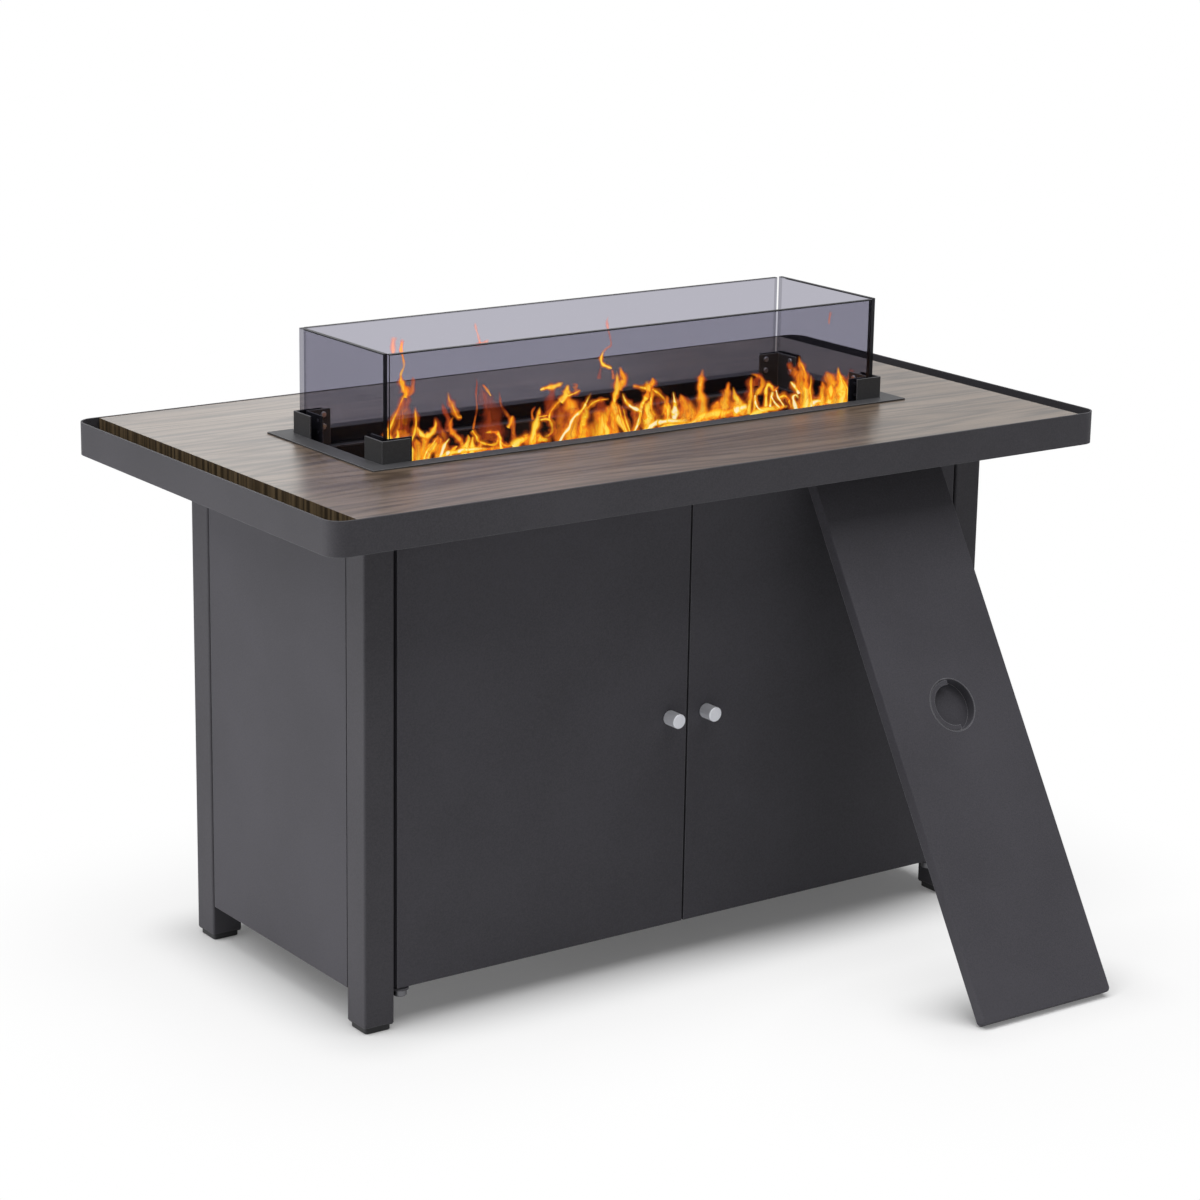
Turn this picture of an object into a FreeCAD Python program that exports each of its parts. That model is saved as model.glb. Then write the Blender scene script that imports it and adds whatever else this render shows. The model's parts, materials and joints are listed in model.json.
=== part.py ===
"""Gas fire pit table: sheet-metal cabinet with two doors, wood-grain top, burner, glass guard and lid.

Millimetres. +X runs along the table, +Y to its back and +Z up. Shapes are drawn with the table
centred on the axes and standing on z = 0, and save() moves them all in Y, so that the origin lies
on the ground under the middle of everything, with the lid that leans on the front counted in.
"""
import math
import os

import FreeCAD
import Part
from FreeCAD import Vector

# Table top
TABLE_LENGTH = 1110.0
TABLE_DEPTH = 605.0
RIM_TOP = 644.0
RIM_HEIGHT = 40.0
RIM_WALL = 2.0
RIM_CORNER = 22.0
LEDGE_ENDS = 50.0
LEDGE_SIDES = 18.0
LEDGE_CORNER = 6.0
TOP_SHEET = 1.5
TOP_BELOW_RIM = 0.5
TOP_END_GAP = 30.0
TOP_SIDE_GAP = 0.5
TOP_LIP = 14.5
TOP_SCREW_R = 2.5
TOP_SCREW_HEAD_R = 4.6
TOP_SCREW_HEAD = 1.4
TOP_SCREW_LENGTH = 9.0
TOP_SCREW_YS = (-180.0, 0.0, 180.0)
TOP_SCREW_XS = (-400.0, -130.0, 130.0, 400.0)

# Cabinet
CABINET_LENGTH = 908.0
CABINET_DEPTH = 399.0
POST = 40.0
POST_WALL = 1.5
POST_CORNER = 3.0
POST_FOOT = 9.0
FOOT_INSET = 3.0
FOOT_CORNER = 4.0
FOOT_EDGE = 1.5
FOOT_LIP_INSET = 0.8
FOOT_LIP = 1.5
FOOT_PLUG = 18.0
FOOT_PLUG_CORNER = 2.0
FOOT_PLAY = 0.1
TOP_RAIL_HEIGHT = 40.0
BOTTOM_RAIL = 20.0
BOTTOM_RAIL_Z = 48.0
BOTTOM_RAIL_SETBACK = 22.0
RAIL_WALL = 1.2
SHEET = 1.0
PANEL_SETBACK = 0.5
PANEL_FLANGE = 15.0
SEAM_FRONT = 0.6
SEAM_BACK = 3.5
FLANGE_CLEAR = 1.0
VENT_LENGTH = 60.0
VENT_HEIGHT = 8.0
VENT_PITCH = 90.0
VENT_ROWS = (110.0, 530.0)
FLOOR_GAP = 0.5
HOSE_HOLE_R = 27.0
PANEL_SCREW_R = 2.0
PANEL_SCREW_HEAD_R = 4.0
PANEL_SCREW_HEAD = 2.4
PANEL_SCREW_LENGTH = 8.0
SIDE_SCREW_YS = (-110.0, 110.0)
BACK_SCREW_XS = (-340.0, 0.0, 340.0)
TANK_X = 190.0
TANK_RING_R = 106.0
TANK_RING_HEIGHT = 25.0
TANK_RING_WALL = 2.0

# Doors
DOOR_BOTTOM = 49.5
DOOR_TOP = 598.0
DOOR_THICK = 18.0
DOOR_SIDE_GAP = 4.0
DOOR_MIDDLE_GAP = 3.0
DOOR_LIP = 12.0
HINGE_INSET = 8.0
HINGE_PIN_R = 4.0
HINGE_HEAD_R = 8.2
HINGE_HEAD_H = 8.0
HINGE_HEAD_EDGE = 0.9
HINGE_PIN_PLAY = 0.01
HINGE_PLATE = 2.0
HINGE_PLATE_WIDTH = 21.0
HINGE_REACH = 14.0
BUSH_R = 6.0
BUSH_LENGTH = 16.0
RUNNING_GAP = 0.05
KNOB_R = 9.0
KNOB_LENGTH = 21.0
KNOB_X = 27.0
KNOB_Z = 314.0
KNOB_CHAMFER = 0.8
KNOB_SCREW_R = 2.0
KNOB_SCREW_HEAD_R = 4.0
KNOB_SCREW_HEAD = 2.6
KNOB_SCREW_REACH = 12.0
STRIKE_X = 60.0
STRIKE_LENGTH = 36.0
STRIKE_THICK = 1.2
STRIKE_INSET = 1.0
CATCH_GAP = 0.4
CATCH_DEPTH = 16.0
CATCH_MARGIN = 4.0
BUMPER_X = 30.0
BUMPER_R = 5.0
BUMPER_GAP = 0.3

# Burner
TRIM_LENGTH = 786.0
TRIM_DEPTH = 240.0
TRIM_SHEET = 1.8
OPENING_LENGTH = 738.0
OPENING_DEPTH = 200.0
LEDGE_DROP = 18.0
TRIM_LEDGE = 18.0
CUT_OUT_GAP = 2.2
PAN_FLOOR = 555.0
PAN_FLANGE = 15.0
DRAIN_R = 4.0
DRAIN_XS = (-300.0, -150.0, 150.0, 300.0)
DRAIN_YS = (-55.0, 55.0)
TUBE_LENGTH = 620.0
TUBE_R = 12.7
TUBE_WALL = 1.5
TUBE_Z = 595.0
PORT_R = 1.5
PORT_PITCH = 20.0
CLIP_X = 200.0
CLIP_THICK = 3.0
CLIP_HALF_WIDTH = 16.0
CLIP_FOOT = 18.0
MIXER_R = 9.5
MIXER_BOTTOM = 505.0
MIXER_BORE_R = 7.0
MIXER_REACH = 2.0
MIXER_COLLAR = 4.0
MIXER_COLLAR_WIDTH = 5.0
MIXER_SEAT = 12.0
MIXER_WINDOW_ABOVE = 3.0
MIXER_WINDOW_HALF = 3.5
MIXER_WINDOW_HEIGHT = 14.0
MIXER_JET_R = 0.8
ELECTRODE_X = 60.0
ELECTRODE_Y = 23.0
ELECTRODE_R = 3.5
ELECTRODE_BELOW = 12.0
ELECTRODE_SHORT = 2.0
ELECTRODE_COLLAR = 2.0
ELECTRODE_COLLAR_WIDTH = 3.5
SPARK_WIRE_R = 1.2
SPARK_TIP_R = 0.9
SPARK_RISE = 14.0
SPARK_REACH = 12.0

# Controls, on a bracket behind the left door
CONTROL_X = -300.0
CONTROL_Z = 530.0
CONTROL_FACE_Y = -140.0
BRACKET_WIDTH = 150.0
BRACKET_EXTRA = 5.0
BRACKET_DROP = 108.0
BRACKET_HOLE_PLAY = 1.5
VALVE_R = 15.0
VALVE_LENGTH = 40.0
VALVE_STUB_R = 8.0
VALVE_BORE_R = 3.0
VALVE_BORE_EXTRA = 6.0
STEM_R = 4.0
STEM_DEPTH = 28.0
STEM_END_GAP = 1.0
VALVE_OUTLET = 15.0
VALVE_INLET = 32.0
INLET_FLATS = 19.0
INLET_HEX = 14.0
SPIGOT_R = 7.9
SPIGOT_LENGTH = 18.0
DIAL_R = 20.0
DIAL_GAP = 0.7
DIAL_SKIRT = 6.0
DIAL_HUB_R = 16.4
DIAL_HUB = 11.0
DIAL_GRIP_HALF = 4.0
DIAL_LENGTH = 24.0
DIAL_BORE = 20.0
DIAL_GROOVE_HALF = 0.8
DIAL_GROOVE_FROM = 6.0
DIAL_GROOVE_DEPTH = 1.0
IGNITER_X = -252.0
IGNITER_R = 10.0
IGNITER_COLLAR_R = 13.0
IGNITER_COLLAR = 4.0
IGNITER_LENGTH = 48.0
BUTTON_R = 7.0
BUTTON_LENGTH = 30.0
BUTTON_PROUD = 8.0
BUTTON_TRAVEL_ROOM = 4.0
BUTTON_EDGE = 1.2
PIPE_R = 5.0
PIPE_BORE = 4.0
PIPE_BEND = 25.0
PIPE_LEVEL = 462.0
NUT_LENGTH = 14.0
NUT_FLATS = 17.0
NUT_PLAY = 0.03

# Glass guard
GLASS = 5.6
GUARD_GAP = 0.3
GUARD_WALL = 1.6
GUARD_HEIGHT = 44.5
GUARD_LEG = 38.0
GUARD_INNER_LEG = 45.0
GLASS_TOP = 771.5
GLASS_OUT_X = 362.0
GLASS_OUT_Y = 97.8
GLASS_FRONT_ENDS = (-357.0, 351.0)
GLASS_BACK_ENDS = (-355.4, 350.4)
GLASS_SIDE_ENDS = (-91.1, 96.5)
GLASS_EDGE = 0.4
GUARD_SCREW_R = 2.0
GUARD_SCREW_Z = (651.0, 665.5)
GUARD_SCREW_INSET = 10.0
GUARD_SCREW_HOLE = 5.8
GUARD_SCREW_HEAD_R = 3.6
GUARD_SCREW_HEAD = 2.2
GUARD_SCREW_DOME = 0.9

# Lid
LID_LENGTH = 706.0
LID_WIDTH = 198.5
LID_THICK = 15.0
LID_CORNER = 6.0
LID_EDGE = 1.4
LID_LEAN = 31.3
LID_TURN = -0.5
LID_FOOT_X = 258.4
LID_REST_GAP = 0.3
PULL_Y = 378.0
CUP_R = 33.4
CUP_WALL = 1.2
CUP_DEPTH = 13.5
CUP_FLANGE = 5.0
BAIL_OUT_R = 31.4
BAIL_WIDTH = 6.0
BAIL_THICK = 4.0
BAIL_SINK = 0.5
BAIL_PIN_R = 1.5
BAIL_PIN_SHORT = 0.1
BAIL_TAIL = 3.0

# How far a cut runs past a face, how loose screws and tubes are in their holes, and the
# distance under which two heights count as the same
PAST = 1.0
SCREW_PLAY = 0.02
HOLE_PLAY = 0.1
TINY = 0.01

# Values that follow from those above
TOP_Z = RIM_TOP - TOP_BELOW_RIM
UNDER_TOP = TOP_Z - TOP_SHEET
RIM_BOTTOM = RIM_TOP - RIM_HEIGHT
TOP_HALF_X = TABLE_LENGTH / 2 - RIM_WALL - TOP_END_GAP
TOP_HALF_Y = TABLE_DEPTH / 2 - RIM_WALL - TOP_SIDE_GAP
HALF_X = CABINET_LENGTH / 2
HALF_Y = CABINET_DEPTH / 2
BAY_X = HALF_X - POST
BAY_Y = HALF_Y - POST
TOP_RAIL_Z = UNDER_TOP - TOP_RAIL_HEIGHT
BOTTOM_RAIL_TOP = BOTTOM_RAIL_Z + BOTTOM_RAIL
BOTTOM_RAIL_Y = HALF_Y - BOTTOM_RAIL_SETBACK
DOOR_OUTER_X = BAY_X - DOOR_SIDE_GAP
DOOR_INNER_X = DOOR_MIDDLE_GAP / 2
DOOR_BACK_Y = -HALF_Y + DOOR_THICK
HINGE_X = DOOR_OUTER_X - HINGE_INSET
HINGE_Y = -HALF_Y + HINGE_INSET
TRIM_TOP = TOP_Z + TRIM_SHEET
LEDGE_TOP = TRIM_TOP - LEDGE_DROP
LEDGE_UNDER = LEDGE_TOP - TRIM_SHEET
PAN_HALF_X = OPENING_LENGTH / 2 - TRIM_LEDGE
PAN_HALF_Y = OPENING_DEPTH / 2 - TRIM_LEDGE
GUARD_BOTTOM = LEDGE_TOP + GUARD_GAP
GUARD_TOP = GUARD_BOTTOM + GUARD_HEIGHT
GUARD_X = OPENING_LENGTH / 2 - GUARD_GAP
GUARD_Y = OPENING_DEPTH / 2 - GUARD_GAP
DIAL_BACK_Y = CONTROL_FACE_Y - SHEET - DIAL_GAP
SIDE_SCREW_X = BAY_X + BOTTOM_RAIL / 2
BACK_SCREW_Y = BOTTOM_RAIL_Y - BOTTOM_RAIL / 2
OUT_FRONT = Vector(0, -1, 0)
TO_BACK = Vector(0, 1, 0)


def block(x0, y0, z0, x1, y1, z1):
    """A box between two opposite corners."""
    return Part.makeBox(x1 - x0, y1 - y0, z1 - z0, Vector(x0, y0, z0))


def centred(half_x, half_y, z0, z1):
    """A box centred on the table's upright axis."""
    return block(-half_x, -half_y, z0, half_x, half_y, z1)


def rod(x, y, z, radius, length, direction=Vector(0, 0, 1)):
    """A round bar that starts at a point."""
    return Part.makeCylinder(radius, length, Vector(x, y, z), direction)


def round_uprights(shape, radius):
    """The same shape with its upright edges rounded."""
    uprights = [e for e in shape.Edges
                if abs(e.Vertexes[0].X - e.Vertexes[-1].X) < TINY
                and abs(e.Vertexes[0].Y - e.Vertexes[-1].Y) < TINY]
    return shape.makeFillet(radius, uprights)


def other_side(shape):
    """The mirror image to the other end of the table."""
    return shape.mirror(Vector(0, 0, 0), Vector(1, 0, 0))


def other_face(shape):
    """The mirror image from front to back."""
    return shape.mirror(Vector(0, 0, 0), Vector(0, 1, 0))


def four_corners(shape):
    """A shape at the front right and its three mirror images."""
    left = other_side(shape)
    return [shape, left, other_face(shape), other_face(left)]


def hexagon(x, y, z, across_flats, length, direction=Vector(0, 0, 1)):
    """A hexagon bar that starts at a point."""
    radius = across_flats / math.sqrt(3)
    corners = [Vector(radius * math.cos(math.radians(60 * k)), radius * math.sin(math.radians(60 * k)), 0)
               for k in range(6)]
    bar = Part.Face(Part.makePolygon(corners + corners[:1])).extrude(Vector(0, 0, length))
    bar.Placement = FreeCAD.Placement(Vector(x, y, z), FreeCAD.Rotation(Vector(0, 0, 1), direction))
    return bar


def square_tube(x0, y0, z0, x1, y1, z1, along, wall):
    """A rectangular tube between two corners, open at both ends of its length."""
    outer = block(x0, y0, z0, x1, y1, z1)
    trim = [0 if axis == along else wall for axis in "xyz"]
    inner = block(x0 + trim[0], y0 + trim[1], z0 + trim[2], x1 - trim[0], y1 - trim[1], z1 - trim[2])
    return outer.cut(inner)


# Cabinet frame

def post():
    """The front right post, a tube with rounded corners."""
    outer = round_uprights(block(BAY_X, -HALF_Y, POST_FOOT, HALF_X, -BAY_Y, UNDER_TOP), POST_CORNER)
    inner = round_uprights(
        block(BAY_X + POST_WALL, -HALF_Y + POST_WALL, POST_FOOT,
              HALF_X - POST_WALL, -BAY_Y - POST_WALL, UNDER_TOP), POST_CORNER - POST_WALL)
    return outer.cut(inner)


def foot_pad():
    """The plastic foot of that post: a pad, a thin flange under the tube's end and a plug up the tube."""
    def layer(inset, z0, z1, corner):
        plain = block(BAY_X + inset, -HALF_Y + inset, z0, HALF_X - inset, -BAY_Y - inset, z1)
        return round_uprights(plain, corner)

    pad = layer(FOOT_INSET, 0, POST_FOOT, FOOT_CORNER)
    pad = pad.makeFillet(FOOT_EDGE, [e for e in pad.Edges if e.BoundBox.ZMax < TINY])
    flange = layer(FOOT_LIP_INSET, POST_FOOT - FOOT_LIP, POST_FOOT, POST_CORNER - FOOT_LIP_INSET)
    plug = layer(POST_WALL + FOOT_PLAY, POST_FOOT, POST_FOOT + FOOT_PLUG, FOOT_PLUG_CORNER)
    return pad.fuse(flange).fuse(plug).removeSplitter()


def top_rail_front():
    return square_tube(-BAY_X, -HALF_Y, TOP_RAIL_Z, BAY_X, -BAY_Y, UNDER_TOP, "x", RAIL_WALL)


def top_rail_right():
    return square_tube(BAY_X, -BAY_Y, TOP_RAIL_Z, HALF_X, BAY_Y, UNDER_TOP, "y", RAIL_WALL)


def bottom_rail_front():
    return square_tube(-BAY_X, -BOTTOM_RAIL_Y, BOTTOM_RAIL_Z,
                       BAY_X, -BOTTOM_RAIL_Y + BOTTOM_RAIL, BOTTOM_RAIL_TOP, "x", RAIL_WALL)


def bottom_rail_right():
    return square_tube(BAY_X, -BAY_Y, BOTTOM_RAIL_Z,
                       BAY_X + BOTTOM_RAIL, BAY_Y, BOTTOM_RAIL_TOP, "y", RAIL_WALL)


# Cabinet sheets

def side_panel_right():
    """A shallow pan between two posts, with a flange under the bottom rail."""
    face = HALF_X - PANEL_SETBACK
    front, back = -BAY_Y + SEAM_FRONT, BAY_Y - SEAM_BACK
    low, high = BOTTOM_RAIL_Z - SHEET, TOP_RAIL_Z
    shell = block(face - PANEL_FLANGE, front, low, face, back, high)
    shell = shell.cut(block(face - PANEL_FLANGE, front + SHEET, low + SHEET,
                            face - SHEET, back - SHEET, high - SHEET))
    panel = shell.fuse(block(BAY_X + FLANGE_CLEAR, front, low, face, back, low + SHEET)).removeSplitter()
    for y in SIDE_SCREW_YS:
        panel = panel.cut(rod(SIDE_SCREW_X, y, low - PAST, PANEL_SCREW_R, SHEET + 2 * PAST))
    return panel


def back_panel():
    """The sheet between the back posts, with vent slots low and high."""
    face = HALF_Y - PANEL_SETBACK
    half = BAY_X - SEAM_FRONT
    low, high = BOTTOM_RAIL_Z - SHEET, TOP_RAIL_Z
    shell = block(-half, face - PANEL_FLANGE, low, half, face, high)
    shell = shell.cut(block(-half + SHEET, face - PANEL_FLANGE, low + SHEET,
                            half - SHEET, face - SHEET, high - SHEET))
    flange = block(-half, BOTTOM_RAIL_Y - BOTTOM_RAIL + FLANGE_CLEAR, low, half, face, low + SHEET)
    panel = shell.fuse(flange).removeSplitter()
    for z in VENT_ROWS:
        for k in range(-3, 4):
            x = k * VENT_PITCH
            panel = panel.cut(block(x - VENT_LENGTH / 2, face - SHEET - PAST, z,
                                    x + VENT_LENGTH / 2, face + PAST, z + VENT_HEIGHT))
    for x in BACK_SCREW_XS:
        panel = panel.cut(rod(x, BACK_SCREW_Y, low - PAST, PANEL_SCREW_R, SHEET + 2 * PAST))
    return panel


def floor_panel():
    """The cabinet's floor, on the front and back bottom rails, with a hose hole under the gas inlet."""
    sheet = centred(BAY_X - FLOOR_GAP, BOTTOM_RAIL_Y - FLOOR_GAP, BOTTOM_RAIL_TOP, BOTTOM_RAIL_TOP + SHEET)
    return sheet.cut(rod(CONTROL_X, CONTROL_FACE_Y + VALVE_LENGTH / 2, BOTTOM_RAIL_TOP, HOSE_HOLE_R, SHEET))


def tank_ring():
    """The hoop on the floor that a gas tank's foot ring stands inside."""
    low = BOTTOM_RAIL_TOP + SHEET
    hoop = rod(TANK_X, 0, low, TANK_RING_R + TANK_RING_WALL, TANK_RING_HEIGHT)
    return hoop.cut(rod(TANK_X, 0, low, TANK_RING_R, TANK_RING_HEIGHT))


def panel_screws():
    """Screws that go up through the panels' lower flanges into the bottom rails."""
    low = BOTTOM_RAIL_Z - SHEET - PANEL_SCREW_HEAD
    spots = [(side * SIDE_SCREW_X, y) for side in (-1, 1) for y in SIDE_SCREW_YS]
    spots += [(x, BACK_SCREW_Y) for x in BACK_SCREW_XS]
    return [rod(x, y, low, PANEL_SCREW_HEAD_R, PANEL_SCREW_HEAD).fuse(
        rod(x, y, low, PANEL_SCREW_R - SCREW_PLAY, PANEL_SCREW_LENGTH)).removeSplitter() for x, y in spots]


def drilled_for_screws(rail, spots):
    """A bottom rail with its screw holes, through its lower wall only."""
    for x, y in spots:
        rail = rail.cut(rod(x, y, BOTTOM_RAIL_Z - PAST, PANEL_SCREW_R, RAIL_WALL + 2 * PAST))
    return rail


# Table top

def rim_frame():
    """The band round the top, with the ledge inside its foot that the top stands on."""
    half_x, half_y = TABLE_LENGTH / 2, TABLE_DEPTH / 2
    band = round_uprights(centred(half_x, half_y, RIM_BOTTOM, RIM_TOP), RIM_CORNER)
    hollow = round_uprights(centred(half_x - RIM_WALL, half_y - RIM_WALL, RIM_BOTTOM + RIM_WALL, RIM_TOP),
                            RIM_CORNER - RIM_WALL)
    mouth = round_uprights(
        centred(half_x - LEDGE_ENDS, half_y - LEDGE_SIDES, RIM_BOTTOM, RIM_BOTTOM + RIM_WALL), LEDGE_CORNER)
    rim = band.cut(hollow).cut(mouth)
    for x, y in top_screw_spots():
        rim = rim.cut(rod(x, y, RIM_BOTTOM - PAST, TOP_SCREW_R, RIM_WALL + 2 * PAST))
    return rim


def top_screw_spots():
    """Where the screws go up through the ledge into the top's lips."""
    end_x = TOP_HALF_X - TOP_LIP / 2
    side_y = TOP_HALF_Y - TOP_LIP / 2
    spots = [(side * end_x, y) for side in (-1, 1) for y in TOP_SCREW_YS]
    return spots + [(x, side * side_y) for side in (-1, 1) for x in TOP_SCREW_XS]


def tabletop_panel():
    """The wood-grain sheet, folded down at its four edges, with lips that lie on the ledge."""
    foot = RIM_BOTTOM + RIM_WALL
    body = centred(TOP_HALF_X, TOP_HALF_Y, foot, TOP_Z)
    body = body.cut(centred(TOP_HALF_X - TOP_SHEET, TOP_HALF_Y - TOP_SHEET, foot + TOP_SHEET, UNDER_TOP))
    body = body.cut(centred(TOP_HALF_X - TOP_LIP, TOP_HALF_Y - TOP_LIP, foot, foot + TOP_SHEET))
    cut_x = OPENING_LENGTH / 2 + TRIM_SHEET + CUT_OUT_GAP
    cut_y = OPENING_DEPTH / 2 + TRIM_SHEET + CUT_OUT_GAP
    body = body.cut(centred(cut_x, cut_y, UNDER_TOP, TOP_Z))
    for x, y in top_screw_spots():
        body = body.cut(rod(x, y, foot - PAST, TOP_SCREW_R, TOP_SHEET + 2 * PAST))
    return body


def tabletop_screws():
    low = RIM_BOTTOM - TOP_SCREW_HEAD
    return [rod(x, y, low, TOP_SCREW_HEAD_R, TOP_SCREW_HEAD).fuse(
        rod(x, y, low, TOP_SCREW_R - SCREW_PLAY, TOP_SCREW_LENGTH)).removeSplitter()
            for x, y in top_screw_spots()]


# Burner

def burner_trim():
    """The frame dropped into the cut-out: a flange on top, a short wall and an inward ledge."""
    half_x, half_y = OPENING_LENGTH / 2, OPENING_DEPTH / 2
    flange = centred(TRIM_LENGTH / 2, TRIM_DEPTH / 2, TOP_Z, TRIM_TOP)
    well = centred(half_x + TRIM_SHEET, half_y + TRIM_SHEET, LEDGE_UNDER, TOP_Z)
    body = flange.fuse(well).removeSplitter()
    body = body.cut(centred(half_x, half_y, LEDGE_TOP, TRIM_TOP))
    return body.cut(centred(PAN_HALF_X, PAN_HALF_Y, LEDGE_UNDER, LEDGE_TOP))


def burner_pan():
    """The fire pan, hung by its flange under the ledge."""
    body = centred(PAN_HALF_X, PAN_HALF_Y, PAN_FLOOR, LEDGE_UNDER)
    flange = centred(PAN_HALF_X + PAN_FLANGE, PAN_HALF_Y + PAN_FLANGE, LEDGE_UNDER - SHEET, LEDGE_UNDER)
    body = body.fuse(flange).removeSplitter()
    body = body.cut(centred(PAN_HALF_X - SHEET, PAN_HALF_Y - SHEET, PAN_FLOOR + SHEET, LEDGE_UNDER))
    body = body.cut(rod(0, 0, PAN_FLOOR, MIXER_R + HOLE_PLAY, SHEET))
    body = body.cut(rod(ELECTRODE_X, ELECTRODE_Y, PAN_FLOOR, ELECTRODE_R + HOLE_PLAY, SHEET))
    for x in DRAIN_XS:
        for y in DRAIN_YS:
            body = body.cut(rod(x, y, PAN_FLOOR, DRAIN_R, SHEET))
    return body


def burner_tube():
    """The straight burner: a capped tube with a row of flame ports along its top."""
    half = TUBE_LENGTH / 2
    along = Vector(1, 0, 0)
    tube = rod(-half, 0, TUBE_Z, TUBE_R, TUBE_LENGTH, along)
    bore_length = TUBE_LENGTH - 2 * TUBE_WALL
    tube = tube.cut(rod(-half + TUBE_WALL, 0, TUBE_Z, TUBE_R - TUBE_WALL, bore_length, along))
    tube = tube.cut(rod(0, 0, TUBE_Z - TUBE_R - PAST, MIXER_R, TUBE_R))
    count = int(TUBE_LENGTH / PORT_PITCH) - 1
    first = -(count - 1) * PORT_PITCH / 2
    ports = [rod(first + k * PORT_PITCH, 0, TUBE_Z + TUBE_R / 2, PORT_R, TUBE_R) for k in range(count)]
    return tube.cut(ports[0].multiFuse(ports[1:]))


def burner_clips():
    """Two saddles that carry the burner tube on the pan's floor."""
    floor = PAN_FLOOR + SHEET
    half_thick, half_foot = CLIP_THICK / 2, CLIP_FOOT / 2
    clips = []
    for x in (-CLIP_X, CLIP_X):
        saddle = block(x - half_thick, -CLIP_HALF_WIDTH, floor, x + half_thick, CLIP_HALF_WIDTH, TUBE_Z)
        seat = rod(x - CLIP_THICK, 0, TUBE_Z, TUBE_R + RUNNING_GAP, 2 * CLIP_THICK, Vector(1, 0, 0))
        foot = block(x - half_foot, -CLIP_HALF_WIDTH, floor,
                     x + half_foot, CLIP_HALF_WIDTH, floor + half_thick)
        clips.append(saddle.cut(seat).fuse(foot).removeSplitter())
    return clips


def air_mixer():
    """The upright mixing tube under the burner, with air windows and a seat for the pipe's nut."""
    top = TUBE_Z - TUBE_R + MIXER_REACH
    body = rod(0, 0, MIXER_BOTTOM, MIXER_R - RUNNING_GAP, top - MIXER_BOTTOM)
    collar = rod(0, 0, PAN_FLOOR - MIXER_COLLAR, MIXER_R + MIXER_COLLAR_WIDTH, MIXER_COLLAR)
    body = body.fuse(collar).removeSplitter()
    body = body.cut(rod(0, 0, MIXER_BOTTOM + MIXER_SEAT, MIXER_BORE_R, top))
    window_z = MIXER_BOTTOM + MIXER_SEAT + MIXER_WINDOW_ABOVE
    window = centred(2 * MIXER_R, MIXER_WINDOW_HALF, window_z, window_z + MIXER_WINDOW_HEIGHT)
    body = body.cut(window)
    return body.cut(rod(0, 0, MIXER_BOTTOM, MIXER_JET_R, MIXER_SEAT))


def electrode():
    """The spark electrode: a ceramic rod in the pan's floor with a bent wire tip."""
    x, y = ELECTRODE_X, ELECTRODE_Y
    low = PAN_FLOOR - ELECTRODE_BELOW
    ceramic_top = TUBE_Z - ELECTRODE_SHORT
    tip_z = ceramic_top + SPARK_RISE
    body = rod(x, y, low, ELECTRODE_R, ceramic_top - low)
    body = body.fuse(rod(x, y, PAN_FLOOR + SHEET, ELECTRODE_R + ELECTRODE_COLLAR_WIDTH, ELECTRODE_COLLAR))
    body = body.fuse(rod(x, y, ceramic_top - PAST, SPARK_WIRE_R, SPARK_RISE + PAST + SPARK_WIRE_R))
    return body.fuse(rod(x, y, tip_z, SPARK_TIP_R, SPARK_REACH, OUT_FRONT)).removeSplitter()


# Controls

def control_bracket():
    """The sheet that hangs from the front top rail and carries the valve and the igniter."""
    left = CONTROL_X - BRACKET_WIDTH / 2
    right = CONTROL_X + BRACKET_WIDTH / 2 + BRACKET_EXTRA
    top = TOP_RAIL_Z
    plate = block(left, CONTROL_FACE_Y - SHEET, top - BRACKET_DROP, right, CONTROL_FACE_Y, top)
    shelf = block(left, -BAY_Y - BOTTOM_RAIL, top - SHEET, right, CONTROL_FACE_Y, top)
    body = plate.fuse(shelf).removeSplitter()
    for x, radius in ((CONTROL_X, STEM_R + BRACKET_HOLE_PLAY), (IGNITER_X, IGNITER_R + HOLE_PLAY)):
        body = body.cut(rod(x, CONTROL_FACE_Y + PAST, CONTROL_Z, radius, SHEET + 2 * PAST, OUT_FRONT))
    return body


def gas_valve():
    """The valve body behind the bracket, with its outlet at the back and its inlet below."""
    x, z, face = CONTROL_X, CONTROL_Z, CONTROL_FACE_Y
    back = face + VALVE_LENGTH + VALVE_OUTLET
    body = rod(x, face, z, VALVE_R, VALVE_LENGTH, TO_BACK)
    body = body.fuse(rod(x, face + VALVE_LENGTH, z, VALVE_STUB_R, VALVE_OUTLET, TO_BACK))
    down = Vector(0, 0, -1)
    body = body.fuse(rod(x, face + VALVE_LENGTH / 2, z, VALVE_STUB_R, VALVE_INLET, down)).removeSplitter()
    body = body.cut(rod(x, face, z, STEM_R + RUNNING_GAP, STEM_DEPTH, TO_BACK))
    return body.cut(rod(x, back, z, VALVE_BORE_R, VALVE_OUTLET + VALVE_BORE_EXTRA, OUT_FRONT))


def valve_inlet():
    """The brass fitting that the gas hose screws onto: a hexagon and a threaded spigot."""
    y = CONTROL_FACE_Y + VALVE_LENGTH / 2
    top = CONTROL_Z - VALVE_INLET
    low = top - INLET_HEX - SPIGOT_LENGTH
    body = hexagon(CONTROL_X, y, top - INLET_HEX, INLET_FLATS, INLET_HEX)
    body = body.fuse(rod(CONTROL_X, y, low, SPIGOT_R, SPIGOT_LENGTH)).removeSplitter()
    return body.cut(rod(CONTROL_X, y, low, VALVE_BORE_R, top - low))


def valve_stem():
    """The spindle that the dial turns in the valve."""
    front = DIAL_BACK_Y - DIAL_BORE
    back = CONTROL_FACE_Y + STEM_DEPTH - STEM_END_GAP
    return rod(CONTROL_X, front, CONTROL_Z, STEM_R, back - front, TO_BACK)


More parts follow.
